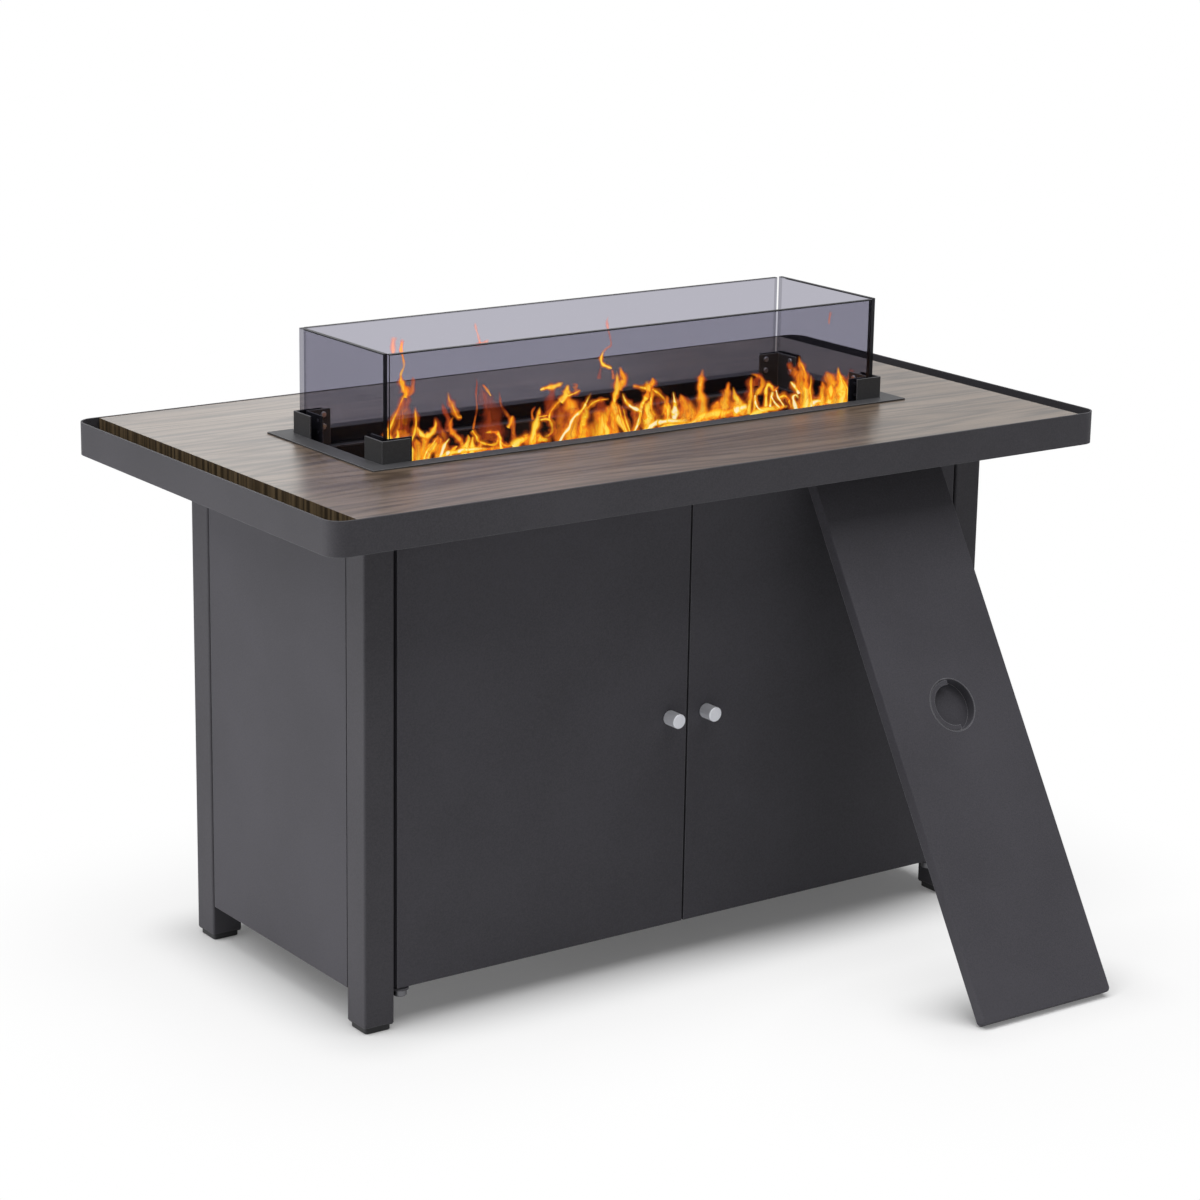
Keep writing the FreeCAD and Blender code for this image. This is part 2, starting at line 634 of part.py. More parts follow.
def control_dial():
    """The dial: a skirt, a hub, a raised grip bar across its face and a pointer groove."""
    x, z, back = CONTROL_X, CONTROL_Z, DIAL_BACK_Y
    front = back - DIAL_LENGTH
    body = rod(x, back, z, DIAL_R, DIAL_SKIRT, OUT_FRONT)
    body = body.fuse(rod(x, back, z, DIAL_HUB_R, DIAL_HUB, OUT_FRONT))
    grip = rod(x, back, z, DIAL_HUB_R, DIAL_LENGTH, OUT_FRONT).common(
        block(x - DIAL_GRIP_HALF, front, z - DIAL_R, x + DIAL_GRIP_HALF, back, z + DIAL_R))
    body = body.fuse(grip).removeSplitter()
    body = body.cut(block(x - DIAL_GROOVE_HALF, front, z + DIAL_GROOVE_FROM,
                          x + DIAL_GROOVE_HALF, front + DIAL_GROOVE_DEPTH, z + DIAL_R))
    return body.cut(rod(x, back, z, STEM_R, DIAL_BORE, OUT_FRONT))


def igniter_body():
    """The igniter's barrel, with a collar in front of the bracket and a bore for the button."""
    face = CONTROL_FACE_Y - SHEET
    barrel = rod(IGNITER_X, face, CONTROL_Z, IGNITER_R, IGNITER_LENGTH, TO_BACK)
    collar = rod(IGNITER_X, face, CONTROL_Z, IGNITER_COLLAR_R, IGNITER_COLLAR, OUT_FRONT)
    body = barrel.fuse(collar).removeSplitter()
    depth = BUTTON_LENGTH + BUTTON_TRAVEL_ROOM
    return body.cut(rod(IGNITER_X, face - IGNITER_COLLAR, CONTROL_Z, BUTTON_R + RUNNING_GAP, depth, TO_BACK))


def igniter_button():
    """The push button, which slides in the barrel."""
    front = CONTROL_FACE_Y - SHEET - IGNITER_COLLAR - BUTTON_PROUD
    body = rod(IGNITER_X, front, CONTROL_Z, BUTTON_R, BUTTON_LENGTH, TO_BACK)
    return body.makeFillet(BUTTON_EDGE, [e for e in body.Edges if e.BoundBox.YMax < front + TINY])


def pipe_path(points, bend):
    """Straight runs joined by round bends that touch both runs."""
    edges = []
    start = points[0]
    for here, corner, after in zip(points, points[1:], points[2:]):
        come = (corner - here).normalize()
        go = (after - corner).normalize()
        turn = come.getAngle(go)
        reach = bend * math.tan(turn / 2)
        enter = corner - come * reach
        leave = corner + go * reach
        inward = (go - come).normalize()
        middle = corner + inward * (bend / math.cos(turn / 2) - bend)
        edges.append(Part.LineSegment(start, enter).toShape())
        edges.append(Part.Arc(enter, middle, leave).toShape())
        start = leave
    edges.append(Part.LineSegment(start, points[-1]).toShape())
    return Part.Wire(edges)


def pipe_points():
    """The pipe's route from under the mixer to the back of the valve."""
    outlet_y = CONTROL_FACE_Y + VALVE_LENGTH + VALVE_OUTLET
    return [Vector(0, 0, MIXER_BOTTOM), Vector(0, 0, PIPE_LEVEL), Vector(CONTROL_X, 0, PIPE_LEVEL),
            Vector(CONTROL_X, 0, CONTROL_Z), Vector(CONTROL_X, outlet_y, CONTROL_Z)]


def gas_pipe():
    """The rigid pipe between the valve and the mixer."""
    path = pipe_path(pipe_points(), PIPE_BEND)

    def swept(radius):
        ring = Part.Wire([Part.makeCircle(radius, Vector(0, 0, MIXER_BOTTOM), Vector(0, 0, -1))])
        return path.makePipeShell([ring], True, False)

    return swept(PIPE_R).cut(swept(PIPE_BORE))


def pipe_nuts():
    """The two nuts that hold the pipe's ends."""
    low = MIXER_BOTTOM - NUT_LENGTH
    outlet = pipe_points()[-1].y
    below = hexagon(0, 0, low, NUT_FLATS, NUT_LENGTH).cut(rod(0, 0, low, PIPE_R + NUT_PLAY, NUT_LENGTH))
    behind = hexagon(CONTROL_X, outlet, CONTROL_Z, NUT_FLATS, NUT_LENGTH, TO_BACK).cut(
        rod(CONTROL_X, outlet, CONTROL_Z, PIPE_R + NUT_PLAY, NUT_LENGTH, TO_BACK))
    return [below, behind]


# Doors

def door_right():
    """The right door: a folded pan, open at the back, with lips round its edge."""
    low, high, front = DOOR_BOTTOM, DOOR_TOP, -HALF_Y
    body = block(DOOR_INNER_X, front, low, DOOR_OUTER_X, DOOR_BACK_Y, high)
    hollow = block(DOOR_INNER_X + SHEET, front + SHEET, low + SHEET,
                   DOOR_OUTER_X - SHEET, DOOR_BACK_Y - SHEET, high - SHEET)
    mouth = block(DOOR_INNER_X + DOOR_LIP, DOOR_BACK_Y - SHEET, low + DOOR_LIP,
                  DOOR_OUTER_X - DOOR_LIP, DOOR_BACK_Y, high - DOOR_LIP)
    body = body.cut(hollow).cut(mouth)
    body = body.cut(rod(HINGE_X, HINGE_Y, low, BUSH_R, SHEET))
    body = body.cut(rod(HINGE_X, HINGE_Y, high - SHEET, BUSH_R, SHEET))
    return body.cut(rod(KNOB_X, front - PAST, KNOB_Z, KNOB_SCREW_R + HOLE_PLAY, SHEET + 2 * PAST, TO_BACK))


def door_bushes_right():
    """Plastic sleeves in the right door's lower and upper edges."""
    bushes = []
    for low in (DOOR_BOTTOM, DOOR_TOP - BUSH_LENGTH):
        sleeve = rod(HINGE_X, HINGE_Y, low, BUSH_R, BUSH_LENGTH)
        bushes.append(sleeve.cut(rod(HINGE_X, HINGE_Y, low, HINGE_PIN_R + RUNNING_GAP, BUSH_LENGTH)))
    return bushes


def door_knob_right():
    """The knob: a short turned cylinder with a fine chamfer round each end."""
    knob = rod(KNOB_X, -HALF_Y, KNOB_Z, KNOB_R, KNOB_LENGTH, OUT_FRONT)
    knob = knob.makeChamfer(KNOB_CHAMFER, [e for e in knob.Edges if e.BoundBox.YLength < TINY])
    return knob.cut(rod(KNOB_X, -HALF_Y, KNOB_Z, KNOB_SCREW_R, KNOB_SCREW_REACH + PAST, OUT_FRONT))


def knob_screw_right():
    """The screw that holds the knob, put in from behind the door's skin."""
    seat = -HALF_Y + SHEET
    head = rod(KNOB_X, seat, KNOB_Z, KNOB_SCREW_HEAD_R, KNOB_SCREW_HEAD, TO_BACK)
    shank = rod(KNOB_X, seat, KNOB_Z, KNOB_SCREW_R - SCREW_PLAY, SHEET + KNOB_SCREW_REACH, OUT_FRONT)
    return head.fuse(shank).removeSplitter()


def door_strike_right():
    """The steel plate on the door's upper lip that the magnet holds."""
    return block(STRIKE_X, DOOR_BACK_Y, DOOR_TOP - DOOR_LIP + STRIKE_INSET,
                 STRIKE_X + STRIKE_LENGTH, DOOR_BACK_Y + STRIKE_THICK, DOOR_TOP - STRIKE_INSET)


def magnet_catch_right():
    """The magnet block under the front top rail, behind the strike."""
    front = DOOR_BACK_Y + STRIKE_THICK + CATCH_GAP
    return block(STRIKE_X - CATCH_MARGIN, front, DOOR_TOP - DOOR_LIP,
                 STRIKE_X + STRIKE_LENGTH + CATCH_MARGIN, front + CATCH_DEPTH, TOP_RAIL_Z)


def door_bumper_right():
    """A rubber button on the bottom rail that the door closes on."""
    length = BOTTOM_RAIL_SETBACK - DOOR_THICK - BUMPER_GAP
    return rod(BUMPER_X, -BOTTOM_RAIL_Y, BOTTOM_RAIL_Z + BOTTOM_RAIL / 2, BUMPER_R, length, OUT_FRONT)


def hinge_plates_right():
    """The tongues under the bottom rail and the top rail that hold the right door's pins."""
    half = HINGE_PLATE_WIDTH / 2
    back = -BOTTOM_RAIL_Y + HINGE_REACH
    plates = []
    for z in (BOTTOM_RAIL_Z - HINGE_PLATE, TOP_RAIL_Z - HINGE_PLATE):
        tongue = block(HINGE_X - half, HINGE_Y, z, HINGE_X + half, back, z + HINGE_PLATE)
        plate = tongue.fuse(rod(HINGE_X, HINGE_Y, z, half, HINGE_PLATE)).removeSplitter()
        plates.append(plate.cut(rod(HINGE_X, HINGE_Y, z, HINGE_PIN_R, HINGE_PLATE)))
    return plates


def hinge_pins_right():
    """The lower pivot bolt, with its round head below the plate, and the upper pin."""
    plate_under = BOTTOM_RAIL_Z - HINGE_PLATE
    pin_r = HINGE_PIN_R - HINGE_PIN_PLAY
    head = rod(HINGE_X, HINGE_Y, plate_under - HINGE_HEAD_H, HINGE_HEAD_R, HINGE_HEAD_H)
    head = head.makeChamfer(HINGE_HEAD_EDGE, [e for e in head.Edges if e.BoundBox.ZLength < TINY])
    lower = head.fuse(rod(HINGE_X, HINGE_Y, plate_under, pin_r, DOOR_BOTTOM + BUSH_LENGTH - plate_under))
    upper_low = DOOR_TOP - BUSH_LENGTH
    upper = rod(HINGE_X, HINGE_Y, upper_low, pin_r, TOP_RAIL_Z - upper_low)
    return [lower.removeSplitter(), upper]


# Glass guard

def guard_bracket():
    """The corner bracket at the front right: an outer and an inner angle joined by a floor."""
    outer = block(GUARD_X - GUARD_LEG, -GUARD_Y, GUARD_BOTTOM, GUARD_X, -GUARD_Y + GUARD_LEG, GUARD_TOP)
    outer = outer.cut(block(0, -GUARD_Y + GUARD_WALL, GUARD_BOTTOM, GUARD_X - GUARD_WALL, 0, GUARD_TOP))
    inner_x = GLASS_OUT_X - GLASS - GUARD_GAP
    inner_y = GLASS_OUT_Y - GLASS - GUARD_GAP
    end_x, end_y = GUARD_X - GUARD_INNER_LEG, -GUARD_Y + GUARD_INNER_LEG
    inner = block(end_x, -inner_y, GUARD_BOTTOM, inner_x, end_y, GUARD_TOP)
    inner = inner.cut(block(0, -inner_y + GUARD_WALL, GUARD_BOTTOM, inner_x - GUARD_WALL, 0, GUARD_TOP))
    floor = block(end_x, -GUARD_Y, GUARD_BOTTOM, GUARD_X, end_y, GUARD_BOTTOM + GUARD_WALL)
    floor = floor.cut(block(end_x, -inner_y + GUARD_WALL, GUARD_BOTTOM,
                            inner_x - GUARD_WALL, end_y, GUARD_TOP))
    body = outer.fuse(inner).fuse(floor).removeSplitter()
    for place, direction in guard_screw_places():
        body = body.cut(rod(*place, GUARD_SCREW_R, GUARD_SCREW_HOLE, direction * -1))
    return body


def guard_screw_places():
    """The head end of each screw of the front right bracket, and the way its head faces."""
    head_x = GLASS_OUT_X - GLASS - GUARD_GAP - GUARD_WALL
    head_y = -(GLASS_OUT_Y - GLASS - GUARD_GAP - GUARD_WALL)
    along = GUARD_INNER_LEG - GUARD_SCREW_INSET
    places = []
    for z in GUARD_SCREW_Z:
        places.append(((GUARD_X - along, head_y, z), Vector(0, 1, 0)))
        places.append(((head_x, -GUARD_Y + along, z), Vector(-1, 0, 0)))
    return places


def guard_screws():
    """Clamp screws through the inner angles, with their points just off the glass."""
    screws = []
    for place, direction in guard_screw_places():
        point = rod(*place, GUARD_SCREW_R - SCREW_PLAY, GUARD_WALL + GUARD_GAP / 2, direction * -1)
        dome = rod(*place, GUARD_SCREW_HEAD_R, GUARD_SCREW_HEAD, direction)
        outer = [e for e in dome.Edges
                 if (e.BoundBox.Center - Vector(*place)).dot(direction) > GUARD_SCREW_HEAD - TINY]
        screws += four_corners(point.fuse(dome.makeFillet(GUARD_SCREW_DOME, outer)).removeSplitter())
    return screws


def pane(x0, y0, x1, y1):
    """One sheet of glass on the brackets' floors, with its top edge eased."""
    sheet = block(x0, y0, GUARD_BOTTOM + GUARD_WALL, x1, y1, GLASS_TOP)
    return sheet.makeChamfer(GLASS_EDGE, [e for e in sheet.Edges if e.BoundBox.ZMin > GLASS_TOP - TINY])


def glass_front():
    left, right = GLASS_FRONT_ENDS
    return pane(left, -GLASS_OUT_Y, right, -GLASS_OUT_Y + GLASS)


def glass_back():
    left, right = GLASS_BACK_ENDS
    return pane(left, GLASS_OUT_Y - GLASS, right, GLASS_OUT_Y)


def glass_right():
    front, back = GLASS_SIDE_ENDS
    return pane(GLASS_OUT_X - GLASS, front, GLASS_OUT_X, back)


# Lid, drawn flat with its front face at z = 0 and its foot edge at y = 0, then leaned

def lid_placement():
    """Leans the flat lid back against the front top rail and turns it a little."""
    lean, turn = math.radians(LID_LEAN), math.radians(LID_TURN)
    tilt = FreeCAD.Rotation(Vector(1, 0, 0), 90 - LID_LEAN)
    spin = FreeCAD.Rotation(Vector(0, 0, 1), LID_TURN)
    corner_back = LID_WIDTH / 2 * math.sin(-turn)
    run = LID_LENGTH * math.sin(lean) * math.cos(turn)
    foot_y = -HALF_Y - LID_REST_GAP - corner_back - run
    rotation = spin.multiply(tilt)
    foot = rotation.multVec(Vector(0, 0, -LID_THICK))
    return FreeCAD.Placement(Vector(LID_FOOT_X, foot_y, 0) - foot, rotation)


def leaned(shape):
    """A piece of the flat lid, moved to where the lid leans."""
    moved = shape.copy()
    moved.Placement = lid_placement().multiply(moved.Placement)
    return moved


def lid_panel():
    """The burner's cover: a shallow folded pan with a round hole for the pull."""
    half = LID_WIDTH / 2
    body = round_uprights(block(-half, 0, -LID_THICK, half, LID_LENGTH, 0), LID_CORNER)
    body = body.makeFillet(LID_EDGE, [e for e in body.Edges if e.BoundBox.ZMin > -TINY])
    inner = round_uprights(block(-half + SHEET, SHEET, -LID_THICK, half - SHEET, LID_LENGTH - SHEET, -SHEET),
                           LID_CORNER - SHEET)
    body = body.cut(inner)
    return body.cut(rod(0, PULL_Y, -SHEET, CUP_R, SHEET))


def pull_cup():
    """The round recess: a pressed cup flush with the lid's face, with a flange behind the skin."""
    cup = rod(0, PULL_Y, -CUP_DEPTH - CUP_WALL, CUP_R, CUP_DEPTH + CUP_WALL)
    outer_r = CUP_R + CUP_FLANGE
    cup = cup.fuse(rod(0, PULL_Y, -SHEET - CUP_WALL, outer_r, CUP_WALL)).removeSplitter()
    cup = cup.cut(rod(0, PULL_Y, -CUP_DEPTH, CUP_R - CUP_WALL, CUP_DEPTH))
    return cup.cut(rod(0, PULL_Y - outer_r, bail_axis_z(), BAIL_PIN_R + RUNNING_GAP, 2 * outer_r, TO_BACK))


def bail_axis_z():
    return -BAIL_SINK - BAIL_THICK / 2


def pull_bail():
    """The half-ring pull, lying in the recess, with a pin on each end that turns in the cup's wall."""
    low = -BAIL_SINK - BAIL_THICK
    ring = rod(0, PULL_Y, low, BAIL_OUT_R, BAIL_THICK).cut(
        rod(0, PULL_Y, low, BAIL_OUT_R - BAIL_WIDTH, BAIL_THICK))
    ring = ring.common(block(-BAIL_OUT_R, PULL_Y - BAIL_OUT_R, low, BAIL_TAIL, PULL_Y + BAIL_OUT_R, 0))
    start = BAIL_OUT_R - BAIL_WIDTH / 2
    length = CUP_R - start - BAIL_PIN_SHORT
    for end in (-1, 1):
        ring = ring.fuse(rod(0, PULL_Y + end * start, bail_axis_z(), BAIL_PIN_R, length, Vector(0, end, 0)))
    return ring.removeSplitter()


# Every node

def with_mirror(make):
    """The shapes of a maker for the right end, and their mirror images."""
    made = make()
    made = made if isinstance(made, list) else [made]
    return made + [other_side(shape) for shape in made]


def all_nodes():
    """Each node's name with its solid or solids."""
    nodes = {}
    for shape, place in zip(four_corners(post()), ("front_right", "front_left", "back_right", "back_left")):
        nodes["post_" + place] = shape
    nodes["foot_pads"] = four_corners(foot_pad())
    nodes["top_rail_front"] = top_rail_front()
    nodes["top_rail_back"] = other_face(top_rail_front())
    nodes["top_rail_right"] = top_rail_right()
    nodes["top_rail_left"] = other_side(top_rail_right())
    side_spots = [(SIDE_SCREW_X, y) for y in SIDE_SCREW_YS]
    nodes["bottom_rail_front"] = bottom_rail_front()
    nodes["bottom_rail_back"] = drilled_for_screws(other_face(bottom_rail_front()),
                                                   [(x, BACK_SCREW_Y) for x in BACK_SCREW_XS])
    nodes["bottom_rail_right"] = drilled_for_screws(bottom_rail_right(), side_spots)
    nodes["bottom_rail_left"] = other_side(nodes["bottom_rail_right"])
    nodes["side_panel_right"] = side_panel_right()
    nodes["side_panel_left"] = other_side(side_panel_right())
    nodes["back_panel"] = back_panel()
    nodes["floor_panel"] = floor_panel()
    nodes["tank_ring"] = tank_ring()
    nodes["panel_screws"] = panel_screws()

    nodes["rim_frame"] = rim_frame()
    nodes["tabletop_panel"] = tabletop_panel()
    nodes["tabletop_screws"] = tabletop_screws()

    nodes["burner_trim"] = burner_trim()
    nodes["burner_pan"] = burner_pan()
    nodes["burner_tube"] = burner_tube()
    nodes["burner_clips"] = burner_clips()
    nodes["air_mixer"] = air_mixer()
    nodes["electrode"] = electrode()
    nodes["control_bracket"] = control_bracket()
    nodes["gas_valve"] = gas_valve()
    nodes["valve_inlet"] = valve_inlet()
    nodes["gas_pipe"] = gas_pipe()
    nodes["pipe_nuts"] = pipe_nuts()
    nodes["igniter_body"] = igniter_body()
    nodes["hinge_plates"] = with_mirror(hinge_plates_right)
    nodes["hinge_pins"] = with_mirror(hinge_pins_right)
    nodes["magnet_catches"] = with_mirror(magnet_catch_right)
    nodes["door_bumpers"] = with_mirror(door_bumper_right)

    door_makers = {"door": door_right, "door_knob": door_knob_right, "knob_screw": knob_screw_right,
                   "door_bushes": door_bushes_right, "door_strike": door_strike_right}
    for name, make in door_makers.items():
        both = with_mirror(make)
        half = len(both) // 2
        nodes["right_" + name] = both[:half]
        nodes["left_" + name] = both[half:]

    nodes["control_dial"] = control_dial()
    nodes["valve_stem"] = valve_stem()
    nodes["igniter_button"] = igniter_button()

    nodes["glass_front"] = glass_front()
    nodes["glass_back"] = glass_back()
    nodes["glass_right"] = glass_right()
    nodes["glass_left"] = other_side(glass_right())
    nodes["guard_brackets"] = four_corners(guard_bracket())
    nodes["guard_screws"] = guard_screws()

    nodes["lid_panel"] = leaned(lid_panel())
    nodes["pull_cup"] = leaned(pull_cup())
    nodes["pull_bail"] = leaned(pull_bail())
    return nodes


def as_one_shape(made):
    """A node's solids as one shape to save."""
    if isinstance(made, list):
        return made[0] if len(made) == 1 else Part.makeCompound(made)
    return made


def save(nodes):
    """Moves the nodes to the shared origin and writes one file for each."""
    os.makedirs("parts", exist_ok=True)
    shapes = {name: as_one_shape(made) for name, made in nodes.items()}
    whole = Part.makeCompound(list(shapes.values())).optimalBoundingBox(False, False)
    shift = Vector(0, -(whole.YMin + whole.YMax) / 2, 0)
    print("shift in Y:", round(shift.y, 3))
    for name, shape in shapes.items():
        placed = shape.copy()
        placed.translate(shift)
        placed.exportStep(os.path.join("parts", name + ".step"))
        if not placed.isValid():
            print("not valid:", name)
    print(len(shapes), "nodes,", sum(len(shape.Solids) for shape in shapes.values()), "solids")


save(all_nodes())
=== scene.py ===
"""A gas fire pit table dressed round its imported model: coats, wood grain, glass, fire and studio."""
import json
import math

import bmesh
import bpy
from mathutils import Matrix, Vector


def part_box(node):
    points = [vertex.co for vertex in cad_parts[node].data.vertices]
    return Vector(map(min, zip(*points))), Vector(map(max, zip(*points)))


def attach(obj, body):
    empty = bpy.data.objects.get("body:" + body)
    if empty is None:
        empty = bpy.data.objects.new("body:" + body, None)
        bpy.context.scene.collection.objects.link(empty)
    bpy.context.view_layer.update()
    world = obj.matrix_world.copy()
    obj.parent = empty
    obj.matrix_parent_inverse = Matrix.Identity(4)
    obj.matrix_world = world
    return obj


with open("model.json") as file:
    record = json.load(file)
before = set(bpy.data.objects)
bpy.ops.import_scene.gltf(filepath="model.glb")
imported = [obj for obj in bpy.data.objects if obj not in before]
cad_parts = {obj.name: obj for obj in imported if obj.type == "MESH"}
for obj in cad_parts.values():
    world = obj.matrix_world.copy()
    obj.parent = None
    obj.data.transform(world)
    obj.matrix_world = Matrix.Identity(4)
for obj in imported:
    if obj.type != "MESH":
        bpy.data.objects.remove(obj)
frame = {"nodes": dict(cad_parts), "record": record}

bpy.context.view_layer.update()
nodes = frame["nodes"]
MM = 0.001


def low(node):
    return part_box(node)[0]


def high(node):
    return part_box(node)[1]


# The table's own middle lies behind the origin, because the lid leans on its front
MIDDLE_Y = (low("rim_frame").y + high("rim_frame").y) / 2
TOP_Z = high("tabletop_panel").z

# The photograph's camera, in metres, degrees and millimetres of lens
CAMERA_PLACE = Vector((-2.286029, MIDDLE_Y - 3.213723, 1.485210))
CAMERA_YAW, CAMERA_PITCH, CAMERA_ROLL = -35.5506, -15.2525, 0.9761
LENS, SENSOR, PHOTO = 98.591, 36.0, 1200
CAMERA_TURN = (Matrix.Rotation(math.radians(CAMERA_YAW), 3, "Z")
               @ Matrix.Rotation(math.radians(90 + CAMERA_PITCH), 3, "X")
               @ Matrix.Rotation(math.radians(CAMERA_ROLL), 3, "Z"))


# Shader sums

class Wire:
    """A socket, with the sums that the finishes need."""

    def __init__(self, finish, socket):
        self.finish, self.socket = finish, socket

    def sum(self, operation, *values):
        return self.finish.node("ShaderNodeMath", {"operation": operation}, dict(enumerate(values)))

    def __add__(self, other):
        return self.sum("ADD", self, other)

    def __sub__(self, other):
        return self.sum("SUBTRACT", self, other)

    def __rsub__(self, other):
        return self.sum("SUBTRACT", other, self)

    def __mul__(self, other):
        return self.sum("MULTIPLY", self, other)

    def __pow__(self, other):
        return self.sum("POWER", self, other)

    def __abs__(self):
        return self.sum("ABSOLUTE", self)

    __radd__, __rmul__ = __add__, __mul__

    def most(self, other):
        return self.sum("MAXIMUM", self, other)

    def least(self, other):
        return self.sum("MINIMUM", self, other)

    def rise(self, start, end):
        """0 at start and 1 at end, smooth between and held flat outside."""
        return self.finish.node("ShaderNodeMapRange", {"interpolation_type": "SMOOTHSTEP"},
                                {"Value": self, "From Min": start, "From Max": end})

    def __getitem__(self, axis):
        """One number of a vector."""
        return self.finish.node("ShaderNodeSeparateXYZ", {}, {"Vector": self}, axis)


class Finish:
    """A material in the making, or the world's light."""

    def __init__(self, owner):
        owner.use_nodes = True
        self.owner, self.tree = owner, owner.node_tree
        self.tree.nodes.clear()

    def node(self, kind, settings, inputs, output=0):
        """Adds a node, sets it up, feeds its sockets and gives back one output."""
        made = self.tree.nodes.new(kind)
        for name, value in settings.items():
            setattr(made, name, value)
        for name, value in inputs.items():
            socket = made.inputs[name]
            if isinstance(value, Wire):
                self.tree.links.new(value.socket, socket)
            elif isinstance(value, tuple) and len(value) < len(socket.default_value):
                socket.default_value = (*value, 1.0)
            else:
                socket.default_value = value
        return Wire(self, made.outputs[output]) if made.outputs else None

    def place(self):
        """The point on the piece at rest, in metres."""
        return self.node("ShaderNodeTexCoord", {}, {}, "Object")

    def facing(self):
        """Which way the surface faces."""
        return self.node("ShaderNodeTexCoord", {}, {}, "Normal")

    def stretched(self, point, scale):
        return self.node("ShaderNodeMapping", {}, {"Vector": point, "Scale": scale})

    def noise(self, point, scale, detail=3.0, rough=0.5, warp=0.0):
        return self.node("ShaderNodeTexNoise", {}, {"Vector": point, "Scale": scale, "Detail": detail,
                                                     "Roughness": rough, "Distortion": warp})

    def blend(self, factor, first, second):
        return self.node("ShaderNodeMix", {"data_type": "RGBA"}, {0: factor, 6: first, 7: second}, 2)

    def joined(self, x, y, z):
        return self.node("ShaderNodeCombineXYZ", {}, {"X": x, "Y": y, "Z": z})

    def rounded(self, radius):
        """A normal that runs smoothly round the edges."""
        return self.node("ShaderNodeBevel", {"samples": 6}, {"Radius": radius})

    def on_edge(self, rounded):
        """1 on the edges that a rounded normal finds and 0 on the flats."""
        flat = self.node("ShaderNodeNewGeometry", {}, {}, "True Normal")
        same = self.node("ShaderNodeVectorMath", {"operation": "DOT_PRODUCT"}, {0: rounded, 1: flat}, "Value")
        return (1.0 - same).rise(0.02, 0.16)

    def bump(self, height, depth, strength=1.0, normal=None):
        """A normal from a height between 0 and 1, depth metres tall, laid over another normal."""
        under = {"Normal": normal} if normal else {}
        return self.node("ShaderNodeBump", {}, {"Height": height, "Distance": depth, "Strength": strength, **under})

    def shader(self, **sockets):
        """The main shader; blanks in the sockets' names are underscores here."""
        return self.node("ShaderNodeBsdfPrincipled", {},
                         {name.replace("_", " "): value for name, value in sockets.items()})

    def mixed(self, factor, first, second):
        """Two shaders blended."""
        return self.node("ShaderNodeMixShader", {}, {0: factor, 1: first, 2: second})

    def done(self, shader):
        self.node("ShaderNodeOutputMaterial", {}, {"Surface": shader})
        return self.owner


def new_finish(name):
    return Finish(bpy.data.materials.new(name))


# Finishes of the record's slots

def powder_coat(name, dark, light, gloss=0.13, rough=0.5, painted_edge_highlight=0.3):
    """Powder coat: a fine pebbled film, uneven over a hand's width, with a painted highlight along the edges."""
    f = new_finish(name)
    point = f.place()
    film = f.noise(point, 6.0, 3.0)
    pebble = f.noise(point, 620.0, 2.0, 0.6)
    rubbed = f.noise(point, 26.0, 6.0, 0.7).rise(0.6, 0.76)
    shade = film * 0.45 + pebble * 0.55
    soft = f.rounded(0.0011)
    coat = f.blend(shade.rise(0.3, 0.7), dark, light)
    # The base colour is blended towards a pale grey on the edges: a painted highlight along them.
    return f.done(f.shader(
        Base_Color=f.blend(f.on_edge(soft) * painted_edge_highlight, coat, (0.4, 0.4, 0.42)),
        Roughness=rough + film * 0.1 - rubbed * 0.06 + pebble * 0.08,
        Specular_IOR_Level=gloss,
        Normal=f.bump(pebble, 0.0002, 0.8, soft)))


def wood_grain(name):
    """Walnut print on sheet metal. It runs on over the folded ends, so the drop there counts as length."""
    f = new_finish(name)
    point = f.place()
    x, y, z = point[0], point[1], point[2]
    along = x + (TOP_Z - z) * x.sum("SIGN", x)
    board = f.joined(along, y, 0.0)
    drift = f.noise(f.stretched(board, (1.6, 7.0, 1.0)), 1.0, 2.0)
    wavy = f.joined(along, y + drift * 0.05, 0.0)
    broad = f.noise(f.stretched(wavy, (1.1, 15.0, 1.0)), 1.0, 3.0, 0.55, 0.4)
    rings = f.noise(f.stretched(wavy, (0.8, 9.0, 1.0)), 1.0, 1.0) * 17.0
    rings = rings.sum("PINGPONG", rings, 0.5) * 2.0
    streak = f.noise(f.stretched(wavy, (3.5, 80.0, 1.0)), 1.0, 4.0, 0.6, 0.5)
    fibre = f.noise(f.stretched(wavy, (14.0, 560.0, 1.0)), 1.0, 3.0, 0.6)
    pores = f.noise(f.stretched(wavy, (45.0, 1100.0, 1.0)), 1.0, 1.0).rise(0.6, 0.7)
    grain = broad * 0.24 + rings ** 2.0 * 0.13 + streak * 0.38 + fibre * 0.27
    tone = f.blend(grain.rise(0.38, 0.6), (0.17, 0.122, 0.086), (0.048, 0.031, 0.019))
    tone = f.blend(broad.rise(0.35, 0.7) * 0.3, tone, (0.1, 0.068, 0.044))
    tone = f.blend(streak.rise(0.54, 0.66) * 0.6, tone, (0.034, 0.022, 0.014))
    tone = f.blend(pores * 0.55, tone, (0.035, 0.023, 0.017))
    folded = abs(f.facing()[0]).rise(0.3, 0.7)
    bars = f.noise(f.stretched(board, (2.0, 130.0, 1.0)), 1.0, 3.0, 0.6).rise(0.4, 0.6)
    tone = f.blend(folded, tone, f.blend(bars, (0.045, 0.031, 0.016), (0.22, 0.155, 0.085)))
    return f.done(f.shader(
        Base_Color=tone,
        Roughness=0.25 + fibre * 0.08 + f.noise(point, 9.0, 3.0) * 0.05,
        Specular_IOR_Level=0.42,
        Normal=f.bump(fibre * 0.6 - pores * 0.4, 0.00006, 0.5)))


